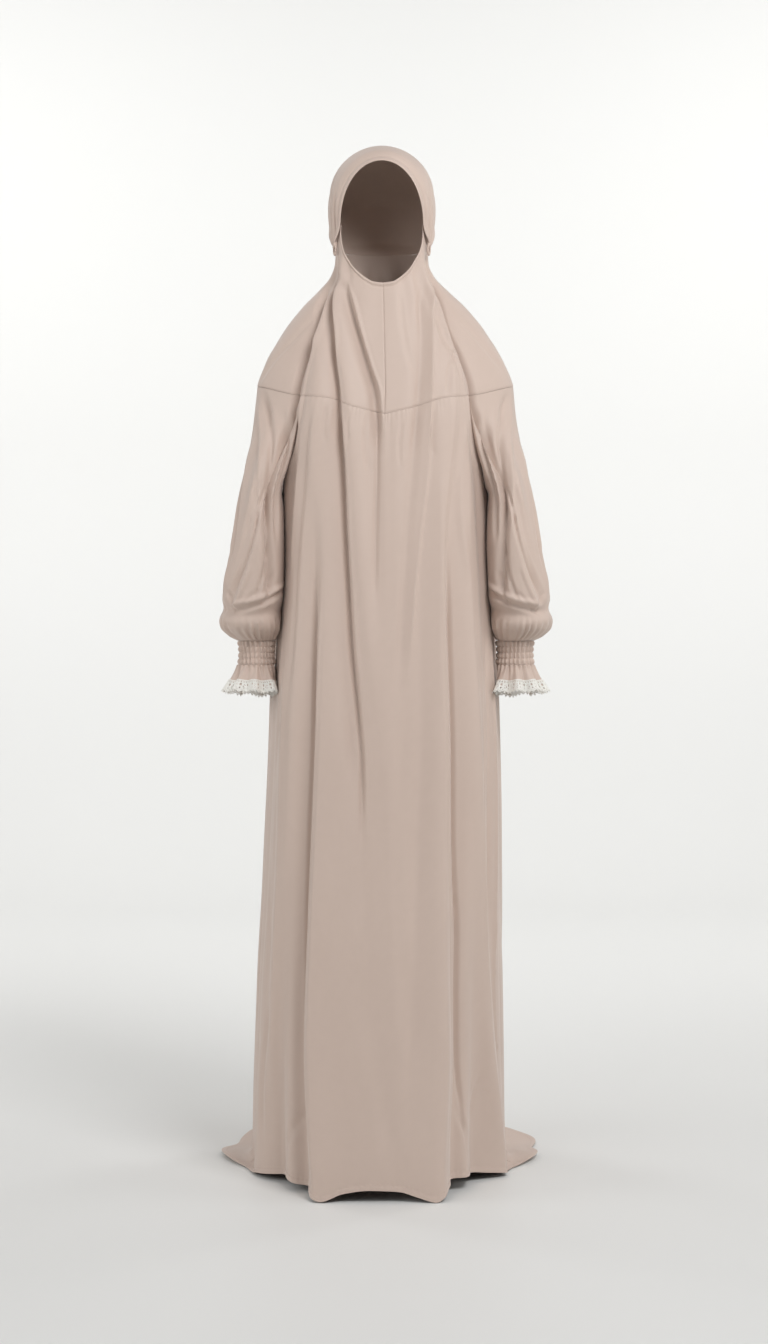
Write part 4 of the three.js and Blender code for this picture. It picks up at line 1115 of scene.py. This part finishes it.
def armhole_point(side, share, back):
    """A point of the armhole in the creased body's edge; back picks its rear half."""
    reach = armhole_angle(share)
    seam = yoke_seam_at(np.where(back, 180 - ARMHOLE_ANGLE, ARMHOLE_ANGLE))
    angle = side * np.where(back, 180 - reach, reach)
    return body_point(angle, armhole_height(seam, share, 1.0), body_detail)


def sleeve_loop(side, u):
    """The sleeve's upper loop: the yoke seam, then down the back armhole and up the front."""
    over = mix(ARMHOLE_ANGLE, 180 - ARMHOLE_ANGLE, np.clip(u / ARC_SHARE, 0, 1))
    yoke = yoke_point(side * over, yoke_seam_at(over), yoke_detail)
    down = np.clip((u - ARC_SHARE) / (UNDERARM_SHARE - ARC_SHARE), 0, 1)
    up = np.clip((1 - u) / (1 - UNDERARM_SHARE), 0, 1)
    loop = np.where((u < ARC_SHARE)[..., None], yoke, armhole_point(side, down, True))
    return np.where((u < UNDERARM_SHARE)[..., None], loop, armhole_point(side, up, False))


def sleeve_relief(turned, down):
    """Long slanting folds, the crease where the sleeve blouses, and the cuff gathers."""
    relief = np.zeros(np.broadcast(turned, down).shape)
    for a0, a1, start, stop, depth, half in SLEEVE_FOLDS:
        angle = mix(a0, a1, np.clip((down - start) / (stop - start), 0, 1))
        off = turn(turned - angle) / half
        length = ease((down - start) / 0.15) * ease((stop - down) / 0.12)
        relief = relief + depth * length * np.exp(-2 * off * off)
    crease = (down - BLOUSE_SHARE - 0.012 * np.cos(np.radians(2 * turned))) / 0.03
    deeper_in_front = 0.55 + 0.45 * np.cos(np.radians(turned - 20))
    relief = relief - BLOUSE_CREASE * deeper_in_front * np.exp(-crease * crease)
    low = ease((down - 0.9) / 0.08) * ease((1 - down) / 0.03)
    return relief + CUFF_GATHER_DEPTH * low * np.cos(np.radians(CUFF_GATHERS * turned))


def keep_clear(point, distance):
    """Moves points out from the dress's middle line until they clear the creased body by a
    distance, so that a sleeve follows the valley beside its armhole."""
    middle = middle_at(point[..., 2])
    x, y = point[..., 0] - middle, point[..., 1]
    angle = np.degrees(np.arctan2(x, -y))
    body = body_point(angle, point[..., 2], body_detail)
    least = np.hypot(body[..., 0] - middle, body[..., 1]) + distance
    radius = np.maximum(np.hypot(x, y), least)
    t = np.radians(angle)
    return np.stack([middle + radius * np.sin(t), -radius * np.cos(t), point[..., 2]], axis=-1)


print("sleeve from", SLEEVE_TOP, "to", CUFF_TOP, "mm, folds", len(SLEEVE_FOLDS))

# %% Sleeve details
# Short creases of the sleeve: start angle and share, end angle and share, depth, half width
SLEEVE_CREASES = [
    (60, 0.0, -26, 0.56, -7.5, 11), (72, 0.05, -6, 0.56, 3.6, 7), (88, 0.1, 62, 0.74, -4.0, 5),
    (-78, 0.79, 46, 0.885, -5.0, 6), (-78, 0.765, 50, 0.86, 3.5, 6),
    (-8, 0.06, -46, 0.62, -6.5, 9), (4, 0.05, -30, 0.5, 3.0, 6), (18, 0.2, -6, 0.5, -1.6, 6),
    (-4, 0.36, 40, 0.82, -6.0, 7), (10, 0.34, 52, 0.8, 2.4, 7),
    (-28, 0.6, -4, 0.85, -4.0, 6), (8, 0.7, 34, 0.87, 3.0, 6), (70, 0.62, 84, 0.86, -3.6, 7),
    (-44, 0.72, -24, 0.87, -3.4, 6), (100, 0.3, 108, 0.7, -3.4, 8), (128, 0.62, 118, 0.86, -3.6, 8),
    (150, 0.2, 158, 0.6, -3.4, 8), (186, 0.4, 176, 0.82, -3.6, 8), (226, 0.5, 216, 0.86, -3.4, 8),
    (56, 0.8, 30, 0.89, -3.0, 5), (-6, 0.8, 22, 0.878, -2.0, 5), (84, 0.82, 60, 0.885, -3.0, 5),
]
SLEEVE_LENGTH = SLEEVE_TOP - CUFF_TOP
MM_PER_TURNED = 1.2
GATHER_HEIGHT, LONG_GATHER = 2.6, 0.6
sleeve_crease = crease_field(
    [(a0, -s0 * SLEEVE_LENGTH, a1, -s1 * SLEEVE_LENGTH, depth, half)
     for a0, s0, a1, s1, depth, half in SLEEVE_CREASES], MM_PER_TURNED)


def sleeve_detail(turned, down, phase):
    """The short creases, and fine uneven gathers that run up from the cuff."""
    relief = sleeve_crease(turned, -down * SLEEVE_LENGTH)
    t = np.radians(turned)
    low = ease((down - 0.895) / 0.06) * ease((1.004 - down) / 0.02)
    fine = np.cos(26 * t + 1.4 * np.sin(3 * t + phase)) * (0.8 + 0.4 * np.sin(5 * t + phase))
    long = np.cos(17 * t + 2 * np.sin(2 * t)) * ease((down - 0.9) / 0.05)
    swell = 0.6 * np.sin(3 * t + down * 9 + phase) * np.sin(down * 14)
    return relief + low * (GATHER_HEIGHT * fine + LONG_GATHER * long) + swell * ease(down / 0.1)


def push_out(side, point, turned, relief):
    """Moves points outwards by the relief, level, along the oval's own angle."""
    point[..., 0] += side * relief * np.sin(np.radians(turned))
    point[..., 1] -= relief * np.cos(np.radians(turned))
    return point


def sleeve_points(side, u, down, phase):
    """The whole sleeve of one side: the ovals, plus the loop's offset that fades by half way
    down, plus the relief along the oval's own direction."""
    u, down = np.broadcast_arrays(u, down)
    turned = sleeve_turned(u)
    height = mix(SLEEVE_TOP, CUFF_TOP, down)
    point = sleeve_ring(side, turned, height)
    offset = sleeve_loop(side, u) - sleeve_ring(side, turned, SLEEVE_TOP + 0 * u)
    point = point + offset * (1 - ease(down / 0.5))[..., None]
    relief = sleeve_relief(turned, down) + sleeve_detail(turned, down, phase) * ease(down / 0.06)
    point = push_out(side, point, turned, relief)
    return keep_clear(point, BODY_CLEARANCE * ease(down / 0.08))


ROUND_SAMPLES = 2001
MIDDLE_HEIGHT = 1000.0
SLEEVE_COLUMNS = 164
SLEEVE_ROWS = 124


def oval_middle(side, height):
    """The middle of the sleeve's oval at a height."""
    return sleeve_ring(side, np.array([0.0, 180.0]), np.array([height, height])).mean(0)


def even_round(side, count):
    """Shares of the sleeve's round at even steps of its length."""
    fine = np.linspace(0, 1, ROUND_SAMPLES)
    oval = sleeve_ring(side, sleeve_turned(fine), MIDDLE_HEIGHT + 0 * fine)
    loop = oval + 0.5 * sleeve_loop(side, fine)
    length = np.concatenate([[0], np.cumsum(np.linalg.norm(np.diff(loop, axis=0), axis=1))])
    return np.interp(np.linspace(0, length[-1], count, endpoint=False), length, fine)


sleeves = {}
for hand, side, phase in (("left", 1, 0.0), ("right", -1, 1.7)):
    around = even_round(side, SLEEVE_COLUMNS)[None, :]
    t = np.linspace(0.0, 1.0, SLEEVE_ROWS)
    down = mix(t, 1 - (1 - t) ** 2, 0.45)[:, None]
    down = np.clip(down, 0.0008, 0.9995)
    points = sleeve_points(side, around, down, phase)
    sleeves[hand] = cloth_shell("sleeve_cloth_" + hand, points, SHELL, CREPE, closed=True,
                                middle=oval_middle(side, MIDDLE_HEIGHT))

# %% [markdown]
# ## Cuffs
# The cuff is the sleeve's own cloth drawn in by rows of elastic thread. Between the rows the
# cloth puffs out in small puckers that shift from row to row. Below it a ruffle opens out in
# uneven waves, and a cotton lace edging is sewn over its edge. The lace is a real net: cells of
# its grid are left out where the pattern has holes, and its lower edge is scalloped.

# %% Cuff band
BAND_LENGTH = 39.0
SEAM_GAP = 0.3
PUCKER_HEIGHT = 4.4
ELASTIC_BEAD = 0.4
BAND_INSET = 2.2
BAND_WAIST = 2.2
ELASTIC_ROWS = 4
PUCKERS_ROUND = 25
PUCKER_DRIFT = 0.5


def band_points(side, turned, down, phase):
    """Rows of puckers: a bell between two elastic rows times a wave round the cuff, which
    stays nearly in step from row to row. The band also narrows towards its middle."""
    t = np.radians(turned)
    row = down * ELASTIC_ROWS
    between = np.abs(np.sin(np.pi * row)) ** 0.7
    index = np.floor(row)
    wobble = 0.9 * np.sin(4 * t + phase + 0.3 * index) + 0.5 * np.sin(7 * t - phase)
    wave = 0.5 + 0.5 * np.cos(PUCKERS_ROUND * t + PUCKER_DRIFT * index + wobble)
    relief = (PUCKER_HEIGHT * wave + ELASTIC_BEAD) * (0.5 + 0.5 * between)
    relief = relief - BAND_INSET - BAND_WAIST * np.sin(np.pi * down)
    point = sleeve_ring(side, turned, CUFF_TOP + 0 * down)
    point = push_out(side, point, turned, relief)
    point[..., 2] = CUFF_TOP - SEAM_GAP - BAND_LENGTH * down
    return keep_clear(point, BODY_CLEARANCE)


print("band puckers", PUCKERS_ROUND, "round in", ELASTIC_ROWS, "rows")

# %% Ruffle and lace surfaces
RUFFLE_LENGTH = 34.0
RUFFLE_FLARE = 15.0
RUFFLE_WAVES = 9
RUFFLE_WAVE_DEPTH = 6.0
RUFFLE_DROOP = 9.0
RUFFLE_GATHER = 2.7
RUFFLE_SWELL = 0.9
RUFFLE_FLUTTER = 1.6
LACE_THICK = 0.8
LACE_LIFT = 1.3
LACE_OUT = LACE_THICK + LACE_LIFT
LACE_FROM = 0.72
LACE_TO = 1.32
SCALLOPS = 30
FLOWER_AT = 0.52
CUFF_PHASES = (("left", 1, 0.4), ("right", -1, 2.1))


def ruffle_points(side, turned, down, phase, out=0.0):
    """The ruffle opens out with down; one wave family gives its flutes and a finer one the
    gathers near the elastic. down goes past 1 for the lace."""
    t = np.radians(turned)
    flutes = RUFFLE_WAVES * t + 0.8 * np.sin(t)
    fine = np.cos(23 * t + 1.2 * np.sin(2 * t + phase)) * np.exp(-down / 0.5) * ease(down / 0.05)
    relief = (RUFFLE_FLARE * down ** 1.2 + RUFFLE_WAVE_DEPTH * np.minimum(down, 1.4) * np.cos(flutes)
              + RUFFLE_GATHER * fine + RUFFLE_SWELL * np.sin(17 * t + phase) * down + out)
    point = sleeve_ring(side, turned, CUFF_TOP + 0 * down)
    point = push_out(side, point, turned, relief)
    droop = RUFFLE_DROOP * down * (1 - np.cos(np.radians(turned - 20))) * 0.5
    flutter = RUFFLE_FLUTTER * down * np.sin(flutes + 1.2)
    point[..., 2] = CUFF_TOP - 2 * SEAM_GAP - BAND_LENGTH - RUFFLE_LENGTH * down - droop + flutter
    return keep_clear(point, BODY_CLEARANCE + LACE_OUT - out)


def lace_cells(rows, columns):
    """Which cells of the lace there are. The lace is measured in motifs round and shares
    down: a row of eyelets along its heading, open flowers of small holes in its middle, and a
    scalloped edge with a bar of picots."""
    share = (np.arange(rows) + 0.5)[:, None] / rows
    motif = (np.arange(columns) + 0.5)[None, :] / columns * SCALLOPS
    x = motif - np.round(motif)
    edge = 0.86 + 0.13 * np.cos(2 * np.pi * x) ** 2
    keep = share < edge
    ring = np.hypot(x * 1.15, share - FLOWER_AT)
    petals = 0.5 + 0.5 * np.cos(5 * np.arctan2(share - FLOWER_AT, x * 1.15))
    keep &= ~((ring > 0.10) & (ring < 0.20) & (petals > 0.5))
    between = np.abs(np.abs(x) - 0.5)
    eyelet = np.abs((motif * 3) % 1 - 0.5)
    picot = np.abs((motif * 5) % 1 - 0.5)
    # a place round the motif and its half width, a share down and its half height
    for place, half, at, tall in ((between, 0.10, 0.38, 0.07), (between, 0.09, 0.64, 0.07),
                                  (eyelet, 0.22, 0.17, 0.045), (picot, 0.24, edge - 0.10, 0.035)):
        keep &= ~((place < half) & (np.abs(share - at) < tall))
    return keep


print("lace motifs round the cuff", SCALLOPS)

# %% Cuff pieces
BAND_COLUMNS, BAND_ROWS = 236, 33
RUFFLE_ROWS = 24
LACE_COLUMNS, LACE_ROWS = 630, 25


def round_grid(columns, shares):
    """Two arrays over a closed round: the angle turned, and the share down."""
    turned = np.linspace(0.0, 360.0, columns, endpoint=False)[None, :]
    return np.broadcast_arrays(turned, shares[:, None])


bands, ruffles, laces = {}, {}, {}
for hand, side, phase in CUFF_PHASES:
    middle = oval_middle(side, CUFF_TOP)
    grid = round_grid(BAND_COLUMNS, np.linspace(0.0, 1.0, BAND_ROWS))
    bands[hand] = cloth_shell("shirred_band_" + hand, band_points(side, *grid, phase),
                              SHELL, CREPE, closed=True, middle=middle)
    grid = round_grid(BAND_COLUMNS, np.linspace(0.0, 1.0, RUFFLE_ROWS))
    ruffles[hand] = cloth_shell("ruffle_" + hand, ruffle_points(side, *grid, phase),
                                SHELL, CREPE, closed=True, middle=middle)
    grid = round_grid(LACE_COLUMNS, mix(LACE_FROM, LACE_TO, np.linspace(0.0, 1.0, LACE_ROWS)))
    laces[hand] = cloth_shell("lace_" + hand, ruffle_points(side, *grid, phase, LACE_OUT),
                              LACE_THICK, LACE_COTTON, closed=True,
                              keep=lace_cells(LACE_ROWS - 1, LACE_COLUMNS), middle=middle)

# %% [markdown]
# ## Ear ties
# At each front corner of the hood a little loop of gathered cloth draws the corner in. It is a
# small tube carried round an oval, ribbed by its gathers, with a knot at its top.

# %% Ear ties
TIE_RADIUS = 4.6
TIE_THICK = 1.9
TIE_STRETCH = 1.7
TIE_NARROW = 0.75
TIE_RIBS = 18


def tie_loop(name, side):
    """A ribbed tube round an upright oval that lies against the neck."""
    out = neck_radius(side * TIE_ANGLE) + EAR_OVERLAP - RIGID_WALL / 2 - 0.1
    spot = round_body(side * TIE_ANGLE, NECK_HEIGHT, out)
    drop = (TIE_RADIUS + TIE_THICK) * TIE_STRETCH + SEAM_GAP
    around, across = np.linspace(0, 2 * np.pi, 81)[:-1], np.linspace(0, 2 * np.pi, 17)[:-1]
    a, c = np.meshgrid(around, across, indexing="ij")
    thick = TIE_THICK * (0.9 + 0.12 * np.cos(TIE_RIBS * a) + 0.18 * np.exp(-((a - np.pi / 2) / 0.5) ** 2))
    ring = TIE_RADIUS + thick * np.cos(c)
    flat_x, upright = ring * np.cos(a) * TIE_NARROW, ring * np.sin(a) * TIE_STRETCH
    deep = thick * np.sin(c)
    r = math.radians(side * TIE_ANGLE)
    x = spot[0] + flat_x * math.cos(r) - deep * math.sin(r)
    y = spot[1] + flat_x * math.sin(r) + deep * math.cos(r)
    points = np.stack([x, y, NECK_HEIGHT - drop + upright], axis=-1)
    n, m = points.shape[:2]
    i, j = np.meshgrid(np.arange(n), np.arange(m), indexing="ij")
    i2, j2 = (i + 1) % n, (j + 1) % m
    faces = np.stack([i * m + j, i2 * m + j, i2 * m + j2, i * m + j2], -1)
    corners = np.stack([i, i + 1, i + 1, i], -1) * 0.0003, np.stack([j, j, j + 1, j + 1], -1) * 0.0006
    return link_mesh(name, points.reshape(-1, 3), faces.reshape(-1, 4),
                     np.stack(corners, -1).reshape(-1, 2), CREPE)


ties = {hand: tie_loop("ear_loop_" + hand, side) for hand, side in (("left", 1), ("right", -1))}

# %% [markdown]
# ## Stitches
# The yoke seam is topstitched, and the hem, the face edge, the chin edge and the lace are sewn
# down with small even machine stitches of matching thread. Each stitch is a tiny rounded grain
# that lies in the cloth. All the stitches of a line are one mesh: the path is divided evenly by
# its length, and one small template is laid at every place by its three directions.

# %% Stitch lines
STITCH_PITCH = 3.0
STITCH_LENGTH = 2.3
STITCH_WIDTH = 0.55
STITCH_HEIGHT = 0.4
STITCH_SIDES = 5
STITCH_RAISE = 0.1
RING_PLACES = np.array([-0.5, -0.3, 0.3, 0.5])
RING_SIZES = np.array([0.35, 1.0, 1.0, 0.35])


def stitch_template():
    """One grain as vertices and faces: four rings of five points along its length, and a cap
    at each end."""
    turns = np.linspace(0, 2 * np.pi, STITCH_SIDES + 1)[:-1]
    vertices = np.stack([
        np.repeat(RING_PLACES * STITCH_LENGTH, STITCH_SIDES),
        (RING_SIZES[:, None] * np.cos(turns)).ravel() * STITCH_WIDTH / 2,
        (RING_SIZES[:, None] * np.sin(turns)).ravel() * STITCH_HEIGHT / 2], axis=-1)
    i, j = np.meshgrid(np.arange(len(RING_PLACES) - 1), np.arange(STITCH_SIDES), indexing="ij")
    low, high, after = i * STITCH_SIDES, (i + 1) * STITCH_SIDES, (j + 1) % STITCH_SIDES
    quads = np.stack([low + j, low + after, high + after, high + j], -1).reshape(-1, 4)
    count = len(vertices)
    caps = [list(range(STITCH_SIDES))[::-1], list(range(count - STITCH_SIDES, count))]
    return vertices, quads, caps


print("corners of a stitch", len(stitch_template()[0]))


def stitch_line(name, surface, along, at, step):
    """Stitches on surface(u, v) along u where v is at; step is a small change of v."""
    rows = np.array([-step, 0.0, step])[:, None] + at
    grid = surface(along + 0 * rows, rows + 0 * along)
    normals = grid_normals(grid, False)[1]
    middle = grid[1].mean(0)
    line = grid[1]
    away = ((line - middle) * normals)[:, :2].sum()
    normals = normals * np.sign(away)
    lengths = np.concatenate([[0], np.cumsum(np.linalg.norm(np.diff(line, axis=0), axis=1))])
    spots = np.arange(STITCH_PITCH / 2, lengths[-1], STITCH_PITCH)

    def pick(values):
        """Values of the line at the stitches' places."""
        return np.stack([np.interp(spots, lengths, values[:, k]) for k in range(3)], -1)

    place, out = pick(line), pick(normals)
    ahead = pick(np.gradient(line, axis=0))
    ahead /= np.linalg.norm(ahead, axis=-1, keepdims=True)
    out /= np.linalg.norm(out, axis=-1, keepdims=True)
    axes = np.stack([ahead, np.cross(out, ahead), out], axis=1)
    template, quads, caps = stitch_template()
    vertices = place[:, None] + np.einsum("vk,nkc->nvc", template, axes) + STITCH_RAISE * out[:, None]
    starts = np.arange(len(spots)) * len(template)
    faces = (starts[:, None, None] + quads[None]).reshape(-1, 4).tolist()
    faces += [[start + k for k in cap] for start in starts.tolist() for cap in caps]
    corners = sum(len(face) for face in faces)
    flat = np.stack([np.arange(corners) * 0.0004, np.arange(corners) % 7 * 0.0002], -1)
    print(name, "stitches", len(spots))
    return link_mesh(name, vertices.reshape(-1, 3), faces, flat, THREAD)


# %% Rows of stitches
def seam_surface(angle, over):
    """The yoke at a distance over its lower seam."""
    return yoke_point(angle, yoke_seam_at(np.abs(angle)) + over, yoke_detail)


def hem_surface(angle, over):
    """The body at a distance over its hem."""
    return body_point(angle, hem_fall(angle) + over, body_detail)


def chin_surface(angle, under):
    """The yoke at a distance under its upper edge."""
    return yoke_point(angle, yoke_top_at(np.abs(angle)) - under, yoke_detail)


def lace_surface(side, phase):
    """The outer face of one cuff's lace, as a function of angle and share down."""
    def surface(turned, down):
        return ruffle_points(side, turned, down, phase, LACE_OUT)
    return surface


all_round = np.linspace(-180.0, 180.0, 2400)
chin = np.linspace(-50.0, 50.0, 500)
face = np.linspace(-0.97, 0.97, 700)
cuff_round = np.linspace(0.0, 360.0, 900)
seams = [
    stitch_line("yoke_seam_stitches", seam_surface, all_round, 2.4, 0.3),
    stitch_line("hem_stitches", hem_surface, all_round, HEM_WIDTH - 0.5, 0.3),
    stitch_line("chin_edge_stitches", chin_surface, chin, GROOVE_AT, 0.3),
    stitch_line("face_edge_stitches", hood_surface, face, CASING_AT, 0.002),
]
for hand, side, phase in CUFF_PHASES:
    seams.append(stitch_line("lace_stitches_" + hand, lace_surface(side, phase),
                             cuff_round, LACE_FROM + 0.05, 0.01))

# %% [markdown]
# ## Putting the pieces on the frame
# Every piece rides on the one body and stands for its rigid wall, which is hidden. The table
# also gives each piece's slot and the size that it was cut to.

CUTS = [
    # piece, node, slot, flat width and length, flat area, how it is held
    (hood, "hood", "crepe", (0.56, 0.30), 0.105, "draped"),
    (yoke_left, "yoke_front_left", "crepe", (0.30, 0.36), 0.066, "draped"),
    (yoke_right, "yoke_front_right", "crepe", (0.30, 0.36), 0.066, "draped"),
    (yoke_behind, "yoke_back", "crepe", (0.56, 0.30), 0.119, "draped"),
    (body_front, "body_front", "crepe", (0.86, 1.36), 0.88, "hung"),
    (body_behind, "body_back", "crepe", (0.92, 1.42), 0.92, "hung"),
]
PAIRS = [
    (sleeves, "sleeve_", "crepe", (0.48, 0.46), 0.170),
    (bands, "cuff_band_", "crepe", (0.30, 0.042), None),
    (ruffles, "cuff_ruffle_", "crepe", (0.36, 0.040), None),
    (laces, "cuff_lace_", "lace", (0.42, 0.022), None),
]
CUTS += [(made[hand], node + hand, slot, flat, area, "gathered")
         for made, node, slot, flat, area in PAIRS for hand in ("left", "right")]
for piece, node, slot, flat, area, held in CUTS:
    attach(piece, "root")
    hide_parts(node)
for hand, tie in ties.items():
    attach(tie, "root")
    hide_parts("ear_tie_" + hand)
for line in seams:
    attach(line, "root")
print("pieces", len(CUTS) + len(ties) + len(seams))
